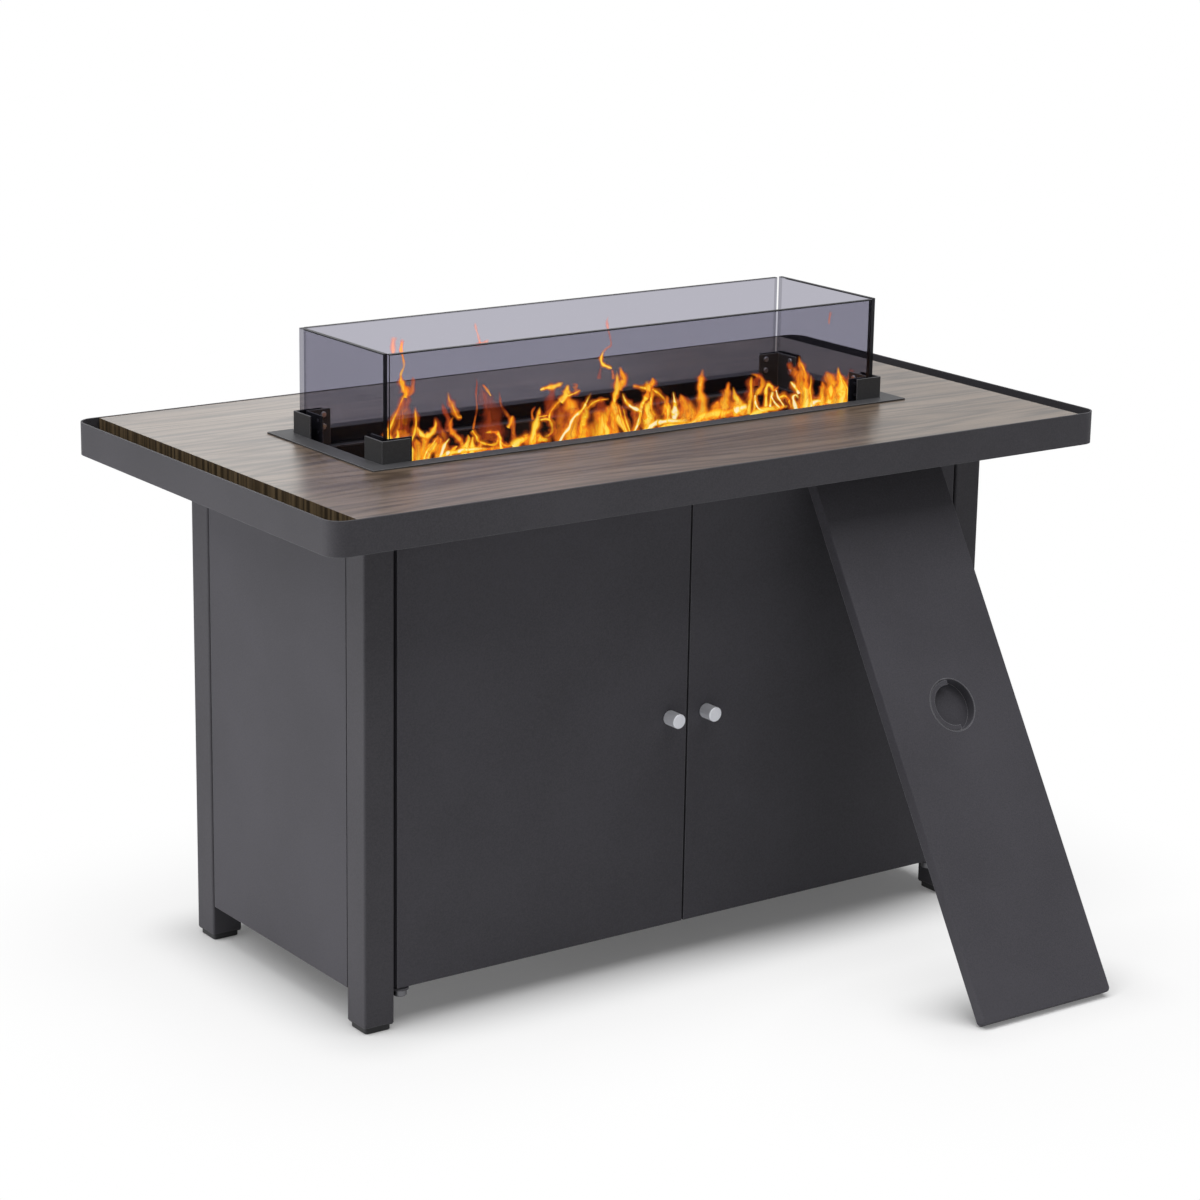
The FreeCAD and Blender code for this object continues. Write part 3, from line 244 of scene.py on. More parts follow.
def heat_black(name):
    """Heat-proof black with a chalky bloom where it has been hot."""
    f = new_finish(name)
    point = f.place()
    bloom = f.noise(point, 14.0, 5.0, 0.65).rise(0.45, 0.75)
    grit = f.noise(point, 900.0, 2.0)
    return f.done(f.shader(
        Base_Color=f.blend(bloom * 0.6 + grit * 0.2, (0.011, 0.011, 0.012), (0.03, 0.028, 0.027)),
        Roughness=0.62 + grit * 0.15, Specular_IOR_Level=0.25, Normal=f.bump(grit, 0.0001, 0.6)))


def brushed(name, dark, light, rough=0.3, metal=1.0, along=(8.0, 900.0, 900.0)):
    """Metal with fine drawn lines; the lines run along the axis with the small number."""
    f = new_finish(name)
    point = f.place()
    lines = f.noise(f.stretched(point, along), 1.0, 3.0, 0.6)
    stain = f.noise(point, 22.0, 4.0)
    return f.done(f.shader(
        Base_Color=f.blend(lines * 0.5 + stain * 0.5, dark, light), Metallic=metal,
        Roughness=rough + lines * 0.14 + stain * 0.06, Normal=f.bump(lines, 0.00004, 0.5, f.rounded(0.0005))))


def moulded(name, dark, light, rough=0.5, grain=0.00008):
    """Moulded plastic or rubber with a fine spark-eroded skin."""
    f = new_finish(name)
    point = f.place()
    skin = f.noise(point, 1300.0, 2.0)
    cloud = f.noise(point, 30.0, 3.0)
    return f.done(f.shader(
        Base_Color=f.blend(skin * 0.4 + cloud * 0.6, dark, light), Roughness=rough + skin * 0.12,
        Specular_IOR_Level=0.35, Normal=f.bump(skin, grain, 0.7)))


# Where the guard's panes begin and end, in metres from the table's middle: each is a pair between which a mask
# rises from 0 to 1
END_PANE_X = (0.3558, 0.356)
BEHIND_FRONT_PANE_Y = (-0.0956, -0.0954)
END_PANE_EDGE_Y = (-0.0917, -0.0915)
BACK_PANE_Y = (0.08, 0.085)
# How far under the glass's top edge its painted dark band starts and is full
PAINTED_DARK_TOP_BAND = (0.0015, 0.0012)


def smoked_glass(name):
    """Smoked tempered glass: a tint at each face, gloss by angle, and painted dark edges that stand in for the shade
    the panes' edges show.
    """
    f = new_finish(name)
    point = f.place()
    x, y = abs(point[0]), point[1] - MIDDLE_Y
    side = f.facing()
    across_x, across_y, up = abs(side[0]), abs(side[1]), abs(side[2])
    end_pane = x.rise(*END_PANE_X) * y.rise(*BEHIND_FRONT_PANE_Y)
    top = high("glass_front").z
    edge = up.rise(0.2, 0.4).most(point[2].rise(top - PAINTED_DARK_TOP_BAND[0], top - PAINTED_DARK_TOP_BAND[1]))
    edge = edge.most(across_x.rise(0.4, 0.6) * (1.0 - end_pane))
    edge = edge.most(across_y.rise(0.4, 0.6) * end_pane * y.rise(*END_PANE_EDGE_Y))
    far_ends = y.rise(*BACK_PANE_Y) * (1.0 - up.rise(0.2, 0.4))
    smear = f.noise(point, 16.0, 3.0)
    clear = f.node("ShaderNodeBsdfTransparent", {}, {"Color": (0.713, 0.708, 0.752)})
    gloss = f.shader(Base_Color=f.blend(smear, (0.01, 0.01, 0.013), (0.016, 0.016, 0.02)),
                     Roughness=0.03 + smear * 0.03)
    slant = f.node("ShaderNodeLayerWeight", {}, {"Blend": 0.5}, "Facing")
    pane = f.mixed(0.04 + slant ** 5.0 * 0.8, clear, gloss)
    # A near-black matt coat on the edges and along the top band: painted shade standing in for the dark that light
    # through the panes' edges shows.
    painted_dark_edge = f.shader(Base_Color=f.blend(smear, (0.004, 0.004, 0.006), (0.008, 0.008, 0.011)),
                      Roughness=0.4 + smear * 0.1, Specular_IOR_Level=0.1)
    # The painted dark is weaker at the back pane's far ends.
    return f.done(f.mixed(edge * (0.97 - 0.7 * far_ends), pane, painted_dark_edge))


def make_finishes():
    """One finish for each material slot of the record."""
    return {
        "frame_powder_coat": powder_coat("frame_powder_coat", (0.053, 0.0512, 0.0575), (0.073, 0.0705, 0.079)),
        "panel_powder_coat": powder_coat("panel_powder_coat", (0.054, 0.0522, 0.0595), (0.074, 0.0715, 0.082)),
        # The lid's edges get a stronger painted highlight.
        "lid_powder_coat": powder_coat("lid_powder_coat", (0.056, 0.054, 0.062), (0.079, 0.0765, 0.088), painted_edge_highlight=0.6),
        "wood_grain_sheet": wood_grain("wood_grain_sheet"),
        # The trim's last number is the strength of its painted edge highlight.
        "burner_trim_coat": powder_coat("burner_trim_coat", (0.046, 0.046, 0.048), (0.066, 0.066, 0.07),
                                        0.18, 0.45, 0.7),
        "heat_black_steel": heat_black("heat_black_steel"),
        "stainless_steel": brushed("stainless_steel", (0.4, 0.35, 0.28), (0.6, 0.58, 0.55)),
        "bright_screws": brushed("bright_screws", (0.3, 0.3, 0.31), (0.46, 0.46, 0.48), 0.36),
        "hinge_steel": brushed("hinge_steel", (0.09, 0.09, 0.1), (0.2, 0.2, 0.21), 0.35),
        "satin_aluminium": brushed("satin_aluminium", (0.72, 0.73, 0.78), (0.9, 0.91, 0.96), 0.4,
                                   0.45, (900.0, 8.0, 900.0)),
        "brass": brushed("brass", (0.5, 0.34, 0.13), (0.72, 0.54, 0.26), 0.25),
        "black_plastic": moulded("black_plastic", (0.014, 0.014, 0.015), (0.024, 0.024, 0.026)),
        "bumper_rubber": moulded("bumper_rubber", (0.02, 0.02, 0.02), (0.032, 0.032, 0.031), 0.75),
        "electrode_ceramic": moulded("electrode_ceramic", (0.72, 0.7, 0.64), (0.84, 0.82, 0.77), 0.3, 0.00004),
        "smoked_glass": smoked_glass("smoked_glass"),
    }


def dress_nodes(finishes):
    """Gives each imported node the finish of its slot."""
    for row in frame["record"]["subparts"]:
        mesh = nodes[row["node"]].data
        for index in range(len(mesh.materials)):
            mesh.materials[index] = finishes[row["material_slot"]]


# Fire

def fire(name, bright):
    """Flame: pale yellow where hot, orange then dark red where cool, with bright threads and borders."""
    f = new_finish(name)
    shape = f.node("ShaderNodeUVMap", {"uv_map": "shape"}, {})
    mood = f.node("ShaderNodeUVMap", {"uv_map": "mood"}, {})
    across, along, heat, cover = shape[0], shape[1], mood[0], mood[1]
    still = f.stretched(f.place(), (34.0, 30.0, 17.0))
    sway = f.noise(still, 1.0, 2.0) - 0.5
    side = abs(across + sway * 0.4)
    fine = f.noise(f.joined(still[0] + sway * 1.2, still[1], still[2]), 2.2, 3.0, 0.6, 1.1)
    threads = (1.0 - abs(fine * 2.0 - 1.0)) ** 7.0
    core = 1.05 - side.rise(0.05, 0.9) * 0.5
    glow = heat * (core * (0.6 + fine.rise(0.3, 0.64) * 0.42) + threads * 0.22)
    holes = f.noise(still, 1.9, 3.0, 0.6, 0.6).rise(0.3, 0.58)
    ends = along.rise(0.0, 0.04) * (1.0 - along.rise(0.75, 1.0))
    alpha = (1.0 - side.rise(0.3, 1.0)) * ends * cover * (0.35 + 0.65 * holes.most(heat.rise(0.8, 1.05)))
    colour = f.blend(glow.rise(0.08, 0.34), (0.1, 0.012, 0.008), (0.46, 0.06, 0.014))
    colour = f.blend(glow.rise(0.34, 0.62), colour, (0.93, 0.23, 0.012))
    colour = f.blend(glow.rise(0.62, 0.86), colour, (1.0, 0.5, 0.018))
    colour = f.blend(glow.rise(0.88, 1.12), colour, (1.0, 0.72, 0.07))
    colour = f.blend(glow.rise(1.15, 1.5), colour, (1.0, 0.88, 0.5))
    return f.done(f.shader(
        Base_Color=f.blend(glow, (0.01, 0.004, 0.002), (0.02, 0.012, 0.004)), Roughness=1.0,
        Specular_IOR_Level=0.0, Alpha=alpha, Emission_Color=colour, Emission_Strength=bright))


# How each kind of stroke is laid: how far behind the table's middle in mm, its heat at the foot and at the tip,
# how much it covers, and how many faces wide it is
KINDS = {
    "smoke": (30, 0.4, 0.24, 0.5, 4), "veil": (20, 0.6, 0.36, 0.6, 4), "wisp": (20, 0.5, 0.42, 0.45, 4),
    "body": (4, 1.0, 0.66, 0.92, 6), "gold": (-8, 1.16, 0.84, 0.95, 6), "pale": (-20, 1.6, 1.1, 0.9, 4),
    "edge": (-14, 1.05, 0.72, 0.85, 4), "fade": (-2, 0.98, 0.35, 0.8, 4), "halo": (-4, 0.72, 0.5, 0.5, 4),
}
# These kinds also get a soft glow round them, this many times as wide
HALO_WIDTHS = {"edge": 2.4, "pale": 2.4, "gold": 1.35, "body": 1.35}
# The trough's edge in the photograph: its place down at the left border, and how much it climbs per pixel across
TROUGH_DOWN, TROUGH_CLIMB = 515, 0.135
# How many pixels lower a stroke starts when it starts at the trough
FOOT_DROP = 4
# From this place across the strokes come forward, over this many pixels, by this many mm in all
FORWARD_FROM, FORWARD_OVER, FORWARD_BY = 770, 70, 55
# How strongly and how quickly a stroke's width sways, how far it bows for its width, and its least half width
SWAY, SWAY_PACE, BOW, LEAST_HALF = 0.22, 0.9, 1.1, 0.3
# The fire in strokes, read from left to right: a kind, then places in the photograph with half a width,
# foot first
STROKES = (
    ("veil", (401, 440, 15), (402, 425, 12), (404, 410, 9), (406, 400, 6), (407, 392, 5)),
    ("edge", (386, 438, 2), (390, 428, 2), (397, 412, 1.4), (402, 400, 1.2), (405, 393, 0.6)),
    ("gold", (405, 398, 2), (406, 392, 5), (403, 386, 4.5), (401, 380, 3), (401, 374, 1)),
    ("fade", (401, 380, 2), (401, 374, 1.6), (404, 366, 1.8), (403, 358, 1.6), (401, 350, 2.5), (402, 342, 2.5),
     (402, 338, 1.5)),
    ("veil", (408, 396, 3), (412, 390, 4), (413, 382, 3), (413, 376, 1)),
    ("wisp", (394, 355, 3), (393, 345, 4), (394, 336, 5)),
    ("gold", (389, 442, 5), (388, 435, 4.5), (387, 427, 1.5)),
    ("gold", (397, 441, 4), (398, 435, 2.5), (397, 429, 0.6)),
    ("edge", (410, 443, 1.6), (414, 434, 2), (416, 424, 1.8), (415.5, 414, 1.4), (415, 406, 0.5)),
    ("gold", (411, 462, 5), (411, 452, 5), (410, 445, 3.5), (409, 439, 1.5)),
    ("gold", (417, 427, 1), (421, 434, 3.4), (426, 436, 3.8), (431, 434, 4), (434.5, 429, 3), (436, 423, 1.4),
     (434.5, 418, 0.4)),
    ("body", (424, 459, 3), (424, 448, 4.5), (425, 440, 4.5), (424, 434, 3)),
    ("body", (419, 460, 6), (419, 450, 6), (417, 443, 4), (416, 438, 1)),
    ("pale", (423, 460, 1.4), (426, 453, 1.8), (431, 446, 1.4), (438, 437, 0.5)),
    ("gold", (426, 460, 3), (429, 451, 5), (434, 445, 5), (437, 439, 3), (438, 434, 1)),
    ("body", (438, 457, 5), (438, 449, 5), (440, 442, 3), (440, 437, 1)),
    ("veil", (441, 448, 7), (443, 436, 6), (438, 426, 5), (435, 416, 2)),
    ("veil", (447, 432, 5), (449, 421, 4), (445, 412, 3.5), (442, 402, 1.5)),
    ("edge", (462, 417, 0.5), (458, 417, 1.4), (455, 412, 1.8), (452, 405, 2), (449, 399, 1.6), (448, 391, 0.5)),
    ("body", (464, 450, 3.4), (462, 444, 3.2), (458, 438, 3.6), (453, 433, 3.2), (450.5, 427, 2), (451, 421, 1.4),
     (454, 416, 0.6)),
    ("pale", (440, 456, 2), (443, 449, 3), (446, 443, 2), (450, 438, 0.6)),
    ("pale", (436, 457, 1), (446, 454, 3), (456, 452, 3.2), (466, 450, 3), (476, 449, 2.4), (488, 448, 1)),
    ("gold", (450, 453, 2), (454, 449, 2.4), (458, 446, 0.8)),
    ("gold", (463, 453, 5), (466, 446, 5), (468, 440, 3.4), (468, 434, 0.8)),
    ("gold", (472, 451, 5), (472, 443, 3), (473, 436, 0.8)),
    ("gold", (477, 451, 5), (480, 446, 3.4), (482, 441, 1)),
    ("edge", (472, 430, 0.9), (476, 436, 1.9), (479, 441, 2.1), (484, 443.5, 1.8), (492, 445, 1.8),
     (497, 443, 2.2), (498, 438, 2), (496, 434, 1.6)),
    ("gold", (502, 448, 3), (500, 441, 2.6), (499, 436, 3), (496, 432.5, 2.6), (490, 432, 1.8), (484, 433, 0.6)),
    ("edge", (500, 441, 1.8), (504, 445, 1.8), (509, 446, 1.6), (514, 443, 0.8)),
    ("body", (462, 453, 2), (478, 450, 3), (494, 448.5, 2.6), (513, 445, 2)),
    ("smoke", (490, 442, 14), (492, 426, 18), (493, 412, 14), (487, 402, 12), (482, 392, 5), (480, 383, 3)),
    ("veil", (473, 430, 1.4), (475, 419, 1.6), (477, 408, 1.4), (476, 395, 1.4), (477, 384, 1.2), (476, 377, 0.5)),
    ("veil", (514, 441, 3), (513, 429, 4), (511, 420, 3.6), (505, 412, 2.6), (501, 404, 1.8), (500, 397, 1.6),
     (499, 390, 0.7)),
    ("body", (508, 428, 1.6), (511, 422, 3), (513, 415, 1.4)),
    ("fade", (491, 396, 0.8), (488, 391, 1.8), (485, 387, 1.8), (482, 384, 0.8)),
    ("wisp", (473, 346, 2), (479, 344, 3), (485, 343, 3), (489, 339, 1)),
    ("wisp", (480, 344, 1.8), (478, 335, 1.6), (476, 329, 1.6), (475, 322, 2)),
    ("gold", (512, 443, 5), (520, 441, 6), (528, 439, 6), (536, 438, 6), (544, 440, 4), (553, 439, 4)),
    ("gold", (532, 442, 4), (534, 431, 5), (537, 421, 4.4), (539, 413, 2.6), (540, 406, 0.6)),
    ("veil", (533, 420, 2), (532, 412, 2), (536, 406, 0.8)),
    ("edge", (540, 420, 1.2), (546, 419, 1.6), (550, 420.5, 1.9), (552, 426, 1.9), (552, 431, 2), (549, 435, 2),
     (542, 438, 2)),
    ("edge", (538, 417, 0.8), (544, 416, 0.9), (549, 415, 0.6)),
    ("edge", (549, 421, 1.2), (550, 413, 1.5), (555, 406, 1.7), (560, 401, 1.8), (566, 395, 2)),
    ("veil", (560, 438, 9), (560, 425, 9), (562, 413, 8), (566, 402, 5)),
    ("pale", (558, 441, 1), (564, 434, 2.2), (569, 428, 2), (571, 422, 2), (575, 416, 2.2), (581, 411, 2.2),
     (585, 405, 1.8), (588, 399, 1.2), (592, 391, 0.5)),
    ("gold", (560, 402, 3), (566, 395, 5), (567, 390, 4), (568, 384, 1)),
    ("edge", (568, 396, 1.2), (575, 393, 1.4), (581, 390, 0.6)),
    ("body", (576, 415, 8), (571, 406, 8), (567, 399, 5), (565, 394, 2)),
    ("body", (571, 440, 10), (572, 427, 10), (575, 416, 9), (580, 409, 4)),
    ("gold", (583, 440, 6), (583, 426, 6), (585, 414, 5), (588, 404, 2)),
    ("gold", (540, 390, 0.8), (546, 388, 2.2), (553, 387, 3.4), (559, 384.5, 2.6), (564, 382, 0.7)),
    ("veil", (574, 389, 3.4), (577, 385, 2), (572, 384, 1)),
    ("smoke", (549, 418, 9), (550, 404, 9), (552, 394, 6), (551, 387, 3)),
    ("edge", (587, 409, 1.4), (592, 403.5, 1.5), (598, 400.5, 1.3), (604, 399.5, 1), (610, 399, 0.6)),
    ("smoke", (601, 418, 10), (601, 407, 10), (602, 399, 5)),
    ("body", (600, 438, 14), (600, 427, 14), (603, 418, 11), (608, 411, 6), (611, 405, 2)),
    ("gold", (606, 434, 9), (604, 425, 9), (604, 417, 6), (605, 412, 2)),
    ("body", (613, 432, 7), (613, 420, 5), (613, 409, 4), (613, 402, 2)),
    ("gold", (629, 432, 2), (622, 425, 4), (617, 415, 4.4), (614, 405, 3.8), (615, 397, 3.2), (617, 390, 4.6),
     (617, 382, 4), (617, 376, 2), (617, 370, 0.6)),
    ("body", (619, 390, 3), (622, 384, 4), (625, 379, 4), (622, 373, 2.8), (620, 366, 1)),
    ("edge", (628, 432, 1.2), (623, 422, 1.8), (620, 412, 1.4), (618, 403, 0.7)),
    ("edge", (631, 431, 1.2), (626, 420, 1.5), (624, 412, 1.2), (622, 405, 0.6)),
    ("gold", (612, 368.5, 0.6), (607, 366.5, 1.8), (603, 364.5, 2), (601, 360, 1.8), (602, 355, 1.6),
     (604, 350, 0.8)),
    ("wisp", (603, 352, 1.2), (607, 348, 2), (611, 345, 1.6), (610, 337, 1.5), (608, 329, 1.8), (607, 321, 1.8),
     (609, 315, 0.8)),
    ("smoke", (599, 379, 2.5), (601, 367, 2)),
    ("veil", (614, 379, 3), (612, 369, 2)),
    ("pale", (642, 412, 2.2), (636, 409, 2.6), (630, 406, 2.4), (625, 400, 1.8), (622, 392, 0.7)),
    ("gold", (640, 414, 2), (642, 405, 2.4), (646, 398, 3.4), (648, 392, 3.6), (648, 386, 4), (646, 380, 1.6)),
    ("body", (646, 391, 4), (650, 386, 5), (653, 382, 3.4), (652, 377, 1)),
    ("edge", (646, 388.5, 1.8), (639, 387, 1.4), (632, 385.5, 0.6)),
    ("veil", (636, 430, 6), (635, 419, 5), (632, 410, 3)),
    ("pale", (632, 431, 1.8), (638, 424, 2.4), (640, 417, 2.4), (641, 410, 1.8)),
    ("gold", (649, 429, 9), (648, 418, 8), (647, 409, 6), (651, 401, 3), (652, 393, 2.4), (653, 387, 1.4)),
    ("edge", (652, 389, 1.4), (658, 393, 1.8), (663, 398, 1.9), (665, 404, 1.9), (664, 411, 2), (661, 417, 2)),
    ("edge", (651, 397, 1.2), (651, 405, 1.8), (653, 412, 1.8), (657, 417, 1.6)),
    ("smoke", (658, 416, 5), (658, 405, 6), (657, 396, 3)),
    ("pale", (644, 428, 3), (654, 424, 4), (662, 422, 3.4), (670, 421, 3), (680, 421, 3), (691, 420, 2)),
    ("gold", (650, 431, 3), (664, 427, 4), (678, 425, 4), (694, 422, 4)),
    ("gold", (667, 421, 5), (667, 409, 5), (667, 401, 3), (667, 395, 0.8)),
    ("pale", (674, 420, 4), (675, 412, 5), (675, 404, 2.4), (674, 397, 1.2), (673, 391, 0.5)),
    ("body", (684, 421, 8), (684, 409, 7), (683, 401, 5), (680, 393, 1)),
    ("body", (692, 422, 9), (690, 411, 9), (685, 403, 5), (681, 395, 1)),
    ("body", (702, 420, 11), (702, 406, 7), (701, 395, 4.6), (700, 388, 3.2), (701, 381, 4.6), (702, 375, 2.8),
     (703, 368, 0.6)),
    ("gold", (700, 386, 2), (701, 381, 3), (702, 376, 1)),
    ("gold", (688, 422, 4), (700, 418, 4), (712, 414, 6), (723, 413, 6), (736, 412, 6), (752, 409, 4)),
    ("body", (712, 415, 6), (716, 407, 4.6), (719, 400, 1.6)),
    ("body", (723, 414, 9), (725, 402, 7.6), (727, 393, 5), (728, 387, 2.4), (729, 381, 0.6)),
    ("gold", (739, 412, 10), (738, 402, 7), (735, 396, 3), (733, 386, 0.8)),
    ("pale", (734, 411, 5), (741, 408, 5.4), (748, 406, 3)),
    ("edge", (748, 411, 3), (750, 400, 3.2), (751, 391, 2.6), (751, 382, 2.2), (752, 376, 1.6)),
    ("body", (754, 412, 2.4), (755, 402, 2.6), (756, 395, 2.8), (760, 390, 3.4), (763, 384, 2.8), (761, 378, 2.6),
     (756, 375, 2), (750, 374, 1)),
    ("pale", (755, 395, 0.9), (755.5, 403, 1.4), (759, 409, 1.6), (766, 411, 1.4)),
    ("smoke", (756, 386, 5), (756, 377, 4)),
    ("gold", (750, 412, 4), (764, 410, 4), (776, 408, 3.4), (790, 406, 2)),
    ("gold", (766, 410, 2.6), (766, 399, 2.4), (766, 390, 2.2), (768, 385, 2.6), (771, 386, 2.8), (774, 390, 2.4),
     (777, 388, 1.2), (779, 385, 0.5)),
    ("pale", (770, 407, 1.4), (771, 398, 1.8), (773, 391, 1.8)),
    ("pale", (771, 396, 1), (775, 403, 1.5), (781, 409, 1)),
    ("pale", (776, 390, 1), (778, 397, 1.5), (782, 403, 1.4), (785, 408, 0.8)),
    ("edge", (778, 398, 1.2), (784, 396, 2), (788, 398.5, 2), (790, 404, 1.8), (792, 409, 1.4)),
    ("pale", (797, 408, 3), (794, 402, 2.4), (793, 397, 1.8), (796, 395, 1.4), (799, 399, 1.6)),
    ("body", (806, 408, 9), (805, 396, 8), (802, 386, 7), (800, 377, 7), (802, 370, 5), (800, 363, 3),
     (799, 355, 0.6)),
    ("gold", (807, 406, 6), (807, 394, 5), (806, 383, 3.6), (806, 376, 3), (803, 368, 2), (799, 360, 1)),
    ("pale", (799, 394, 2), (795, 387, 2.4), (790, 381, 0.7)),
    ("veil", (800, 376, 5), (794, 372, 6), (790, 367, 5), (790, 361, 2)),
    ("edge", (813, 403, 1.6), (810, 392, 1.6), (811, 382, 1.4), (811, 374, 0.6)),
    ("gold", (796, 409, 2), (808, 406, 4), (820, 404, 4), (834, 402, 4)),
    ("pale", (808, 404, 2.4), (815, 402, 4), (822, 401, 2)),
    ("body", (822, 402, 5), (822, 392, 3.6), (823, 386, 2.8), (822, 381, 1)),
    ("body", (838, 402, 13), (836, 391, 13), (832, 383, 9), (828, 376, 5), (826, 370, 1.4)),
    ("gold", (843, 402, 8), (842, 391, 8), (841, 382, 5.6), (839, 375, 3), (838, 366, 0.7)),
    ("gold", (829, 400, 6), (831, 391, 5), (831, 384, 2)),
    ("edge", (849, 402, 2.4), (848, 392, 2.4), (845, 384, 1.8), (841, 377, 1)),
    ("veil", (847, 386, 5), (850, 377, 5), (852, 368, 3)),
    ("wisp", (829, 324, 0.8), (829.5, 318, 1.8), (831, 311, 1.6)),
)


def on_plane(across, down, depth):
    """The point that the photograph shows at a place, on an upright plane depth mm behind the table's middle."""
    focal = LENS / SENSOR * PHOTO
    way = CAMERA_TURN @ Vector((across - PHOTO / 2, PHOTO / 2 - down, -focal))
    reach = (MIDDLE_Y + depth * MM - CAMERA_PLACE.y) / way.y
    return CAMERA_PLACE + way * reach


def smooth_path(places, steps=5):
    """A round path through the places, each with its half width."""
    padded = [places[0], *places, places[-1]]
    path = []
    for k in range(1, len(padded) - 2):
        a, b, c, d = (Vector(padded[k + n]) for n in (-1, 0, 1, 2))
        for step in range(steps + (k == len(padded) - 3)):
            t = step / steps
            path.append((b * 2 + (c - a) * t + (a * 2 - b * 5 + c * 4 - d) * t * t
                         + (b * 3 - a - c * 3 + d) * t ** 3) / 2)
    return path


def lay_stroke(mesh, layers, number, kind, places):
    """Adds one stroke of fire as a ribbon bowed away from its middle line, so that it shows from every side."""
    depth, foot_heat, tip_heat, cover, columns = KINDS[kind]
    # Neighbours stand up to 5 mm before or behind their kind's place, so that they don't share a plane
    depth += number * 7 % 11 - 5
    ceiling = high("glass_front").z - MM
    across, down, half = places[0]
    # Fire that starts at the trough starts a little lower, behind the trim's edge
    if down > TROUGH_DOWN - TROUGH_CLIMB * across - FOOT_DROP:
        places = [(across, down + FOOT_DROP, half), *places[1:]]
    # At the right the strokes come forward, or they would stand behind the guard's end
    depth -= FORWARD_BY * min(max((across - FORWARD_FROM) / FORWARD_OVER, 0), 1)
    path = smooth_path(places)
    rows = []
    for k, point in enumerate(path):
        ahead, behind = path[min(k + 1, len(path) - 1)], path[max(k - 1, 0)]
        run = (ahead - behind).to_2d().normalized()
        half = max(point.z, LEAST_HALF) * (1 + SWAY * math.sin(SWAY_PACE * k + number))
        row = []
        for j in range(columns + 1):
            side = 2 * j / columns - 1
            bow = BOW * half * side * side * (1 if number % 2 else -1)
            spot = on_plane(point.x - run.y * half * side, point.y + run.x * half * side, depth + bow)
            spot.z = min(spot.z, ceiling)
            row.append(mesh.verts.new(spot))
        rows.append(row)
    last = len(rows) - 1
    for k in range(last):
        for j in range(columns):
            face = mesh.faces.new((rows[k][j], rows[k][j + 1], rows[k + 1][j + 1], rows[k + 1][j]))
            face.smooth = True
            for loop, (row, column) in zip(face.loops, ((k, j), (k, j + 1), (k + 1, j + 1), (k + 1, j))):
                t = row / last
                loop[layers[0]].uv = (2 * column / columns - 1, t)
                loop[layers[1]].uv = (foot_heat + (tip_heat - foot_heat) * t, cover)


def make_fire():
    """The flames, all in one piece."""
    mesh = bmesh.new()
    layers = [mesh.loops.layers.uv.new(name) for name in ("shape", "mood")]
    for number, (kind, *places) in enumerate(STROKES):
        lay_stroke(mesh, layers, number, kind, places)
        if kind in HALO_WIDTHS:
            wide = [(across, down, HALO_WIDTHS[kind] * half + 1) for across, down, half in places]
            lay_stroke(mesh, layers, number, "halo", wide)
    finished_piece("flames", mesh, fire("fire", 2.2), "cabinet")


def finished_piece(name, mesh, finish, body):
    """Turns a working mesh into a piece with a finish that rides on a body."""
    data = bpy.data.meshes.new(name)
    mesh.to_mesh(data)
    mesh.free()
    data.materials.append(finish)
    piece = bpy.data.objects.new(name, data)
    bpy.context.scene.collection.objects.link(piece)
    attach(piece, body)


# The studio

# How bright the room is for the light that it sheds, where 1 is the white that the camera sees
ROOM_LIGHT = 0.12
FLOOR_HALF = 8.0
# Half the length and depth of the floor's shadowed places, under the cabinet and round the lid's foot
CABINET_PATCH, LID_PATCH = (0.44, 0.19), (0.11, 0.01)


def make_camera():
    """The photograph's camera."""
    data = bpy.data.cameras.new("camera")
    data.lens, data.sensor_width, data.sensor_fit = LENS, SENSOR, "HORIZONTAL"
    data.clip_start, data.clip_end = 0.1, 100.0
    camera = bpy.data.objects.new("camera", data)
    bpy.context.scene.collection.objects.link(camera)
    camera.matrix_world = Matrix.Translation(CAMERA_PLACE) @ CAMERA_TURN.to_4x4()
    bpy.context.scene.camera = camera


def seen_white(finish):
    """1 for rays from the camera, off a glossy surface or through glass, and 0 for the rest."""
    path = finish.node("ShaderNodeLightPath", {}, {}, "Is Camera Ray")
    sockets = path.socket.node.outputs
    return path.most(Wire(finish, sockets["Is Glossy Ray"])).most(Wire(finish, sockets["Is Transmission Ray"]))


def make_world(level):
    """A white backdrop that lights the scene only at the given level."""
    world = bpy.data.worlds.new("studio")
    finish = Finish(world)
    strength = seen_white(finish) * (1.0 - level) + level
    light = finish.node("ShaderNodeBackground", {}, {"Color": (1.0, 1.0, 1.0), "Strength": strength})
    finish.node("ShaderNodeOutputWorld", {}, {"Surface": light})
    bpy.context.scene.world = world


def away_from(point, middle, half):
    """How far a point of the floor is from an upright box's foot."""
    across = (abs(point[0] - middle[0]) - half[0]).most(0.0)
    deep = (abs(point[1] - middle[1]) - half[1]).most(0.0)
    return (across * across + deep * deep) ** 0.5


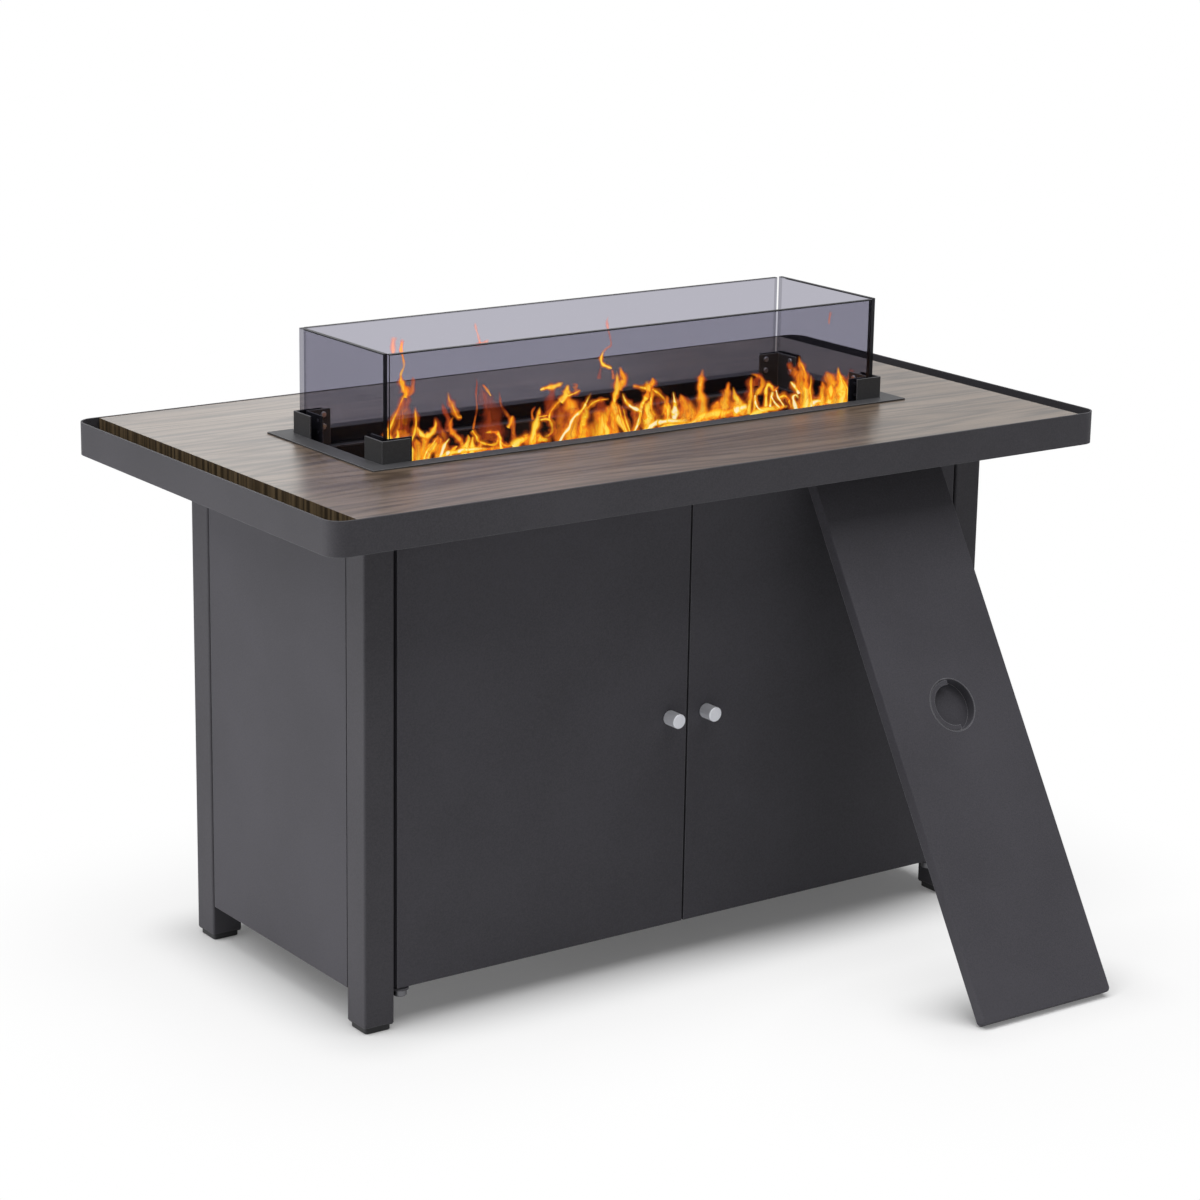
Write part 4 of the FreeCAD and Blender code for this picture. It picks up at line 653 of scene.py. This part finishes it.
def make_floor():
    """A pale seamless floor: matt where the table's shadow falls, white further off."""
    mesh = bmesh.new()
    corners = [mesh.verts.new((x * FLOOR_HALF, y * FLOOR_HALF, 0.0)) for x, y in ((-1, -1), (1, -1), (1, 1), (-1, 1))]
    mesh.faces.new(corners)
    data = bpy.data.meshes.new("floor")
    mesh.to_mesh(data)
    mesh.free()
    floor = bpy.data.objects.new("floor", data)
    bpy.context.scene.collection.objects.link(floor)
    f = new_finish("pale_floor")
    point = f.place()
    cloud = f.noise(point, 1.5, 3.0)
    matt = f.shader(Base_Color=f.blend(cloud, (0.92, 0.92, 0.92), (0.94, 0.94, 0.94)),
                    Roughness=0.9, Specular_IOR_Level=0.1)
    white = f.node("ShaderNodeEmission", {}, {"Color": (1.0, 1.0, 1.0), "Strength": 1.0})
    cabinet = away_from(point, (0.0, MIDDLE_Y), CABINET_PATCH)
    lid_foot = away_from(point, (0.26, low("lid_panel").y + 0.03), LID_PATCH)
    away = cabinet.least(lid_foot)
    far = (away.rise(-0.035, 0.11) * 0.76 + away.rise(0.03, 0.42) * 0.24) * seen_white(f)
    data.materials.append(f.done(f.mixed(far, matt, white)))


def lamp(name, place, aim, width, height, power):
    """A soft box, in metres and watts, turned towards a point."""
    data = bpy.data.lights.new(name, "AREA")
    data.shape, data.size, data.size_y, data.energy = "RECTANGLE", width, height, power
    light = bpy.data.objects.new(name, data)
    bpy.context.scene.collection.objects.link(light)
    way = Vector(aim) - Vector(place)
    light.matrix_world = Matrix.Translation(place) @ way.to_track_quat("-Z", "Y").to_matrix().to_4x4()


def make_studio():
    make_camera()
    make_world(ROOM_LIGHT)
    make_floor()
    lamp("top_box", (0.4, -1.1, 5.0), (0.4, -1.1, 0.0), 5.0, 5.0, 215.0)
    lamp("left_box", (-2.8, 0.5, 3.8), (0.0, 0.1, 0.4), 2.5, 2.5, 62.0)
    lamp("low_box", (-2.0, 0.5, 0.16), (0.0, 0.2, 0.1), 1.8, 0.3, 15.0)
    lamp("back_box", (1.0, 2.7, 1.45), (-0.3, MIDDLE_Y, TOP_Z), 1.5, 1.0, 4.5)
    bpy.context.scene.view_settings.view_transform = "Standard"


make_studio()
dress_nodes(make_finishes())
make_fire()

bpy.context.view_layer.update()
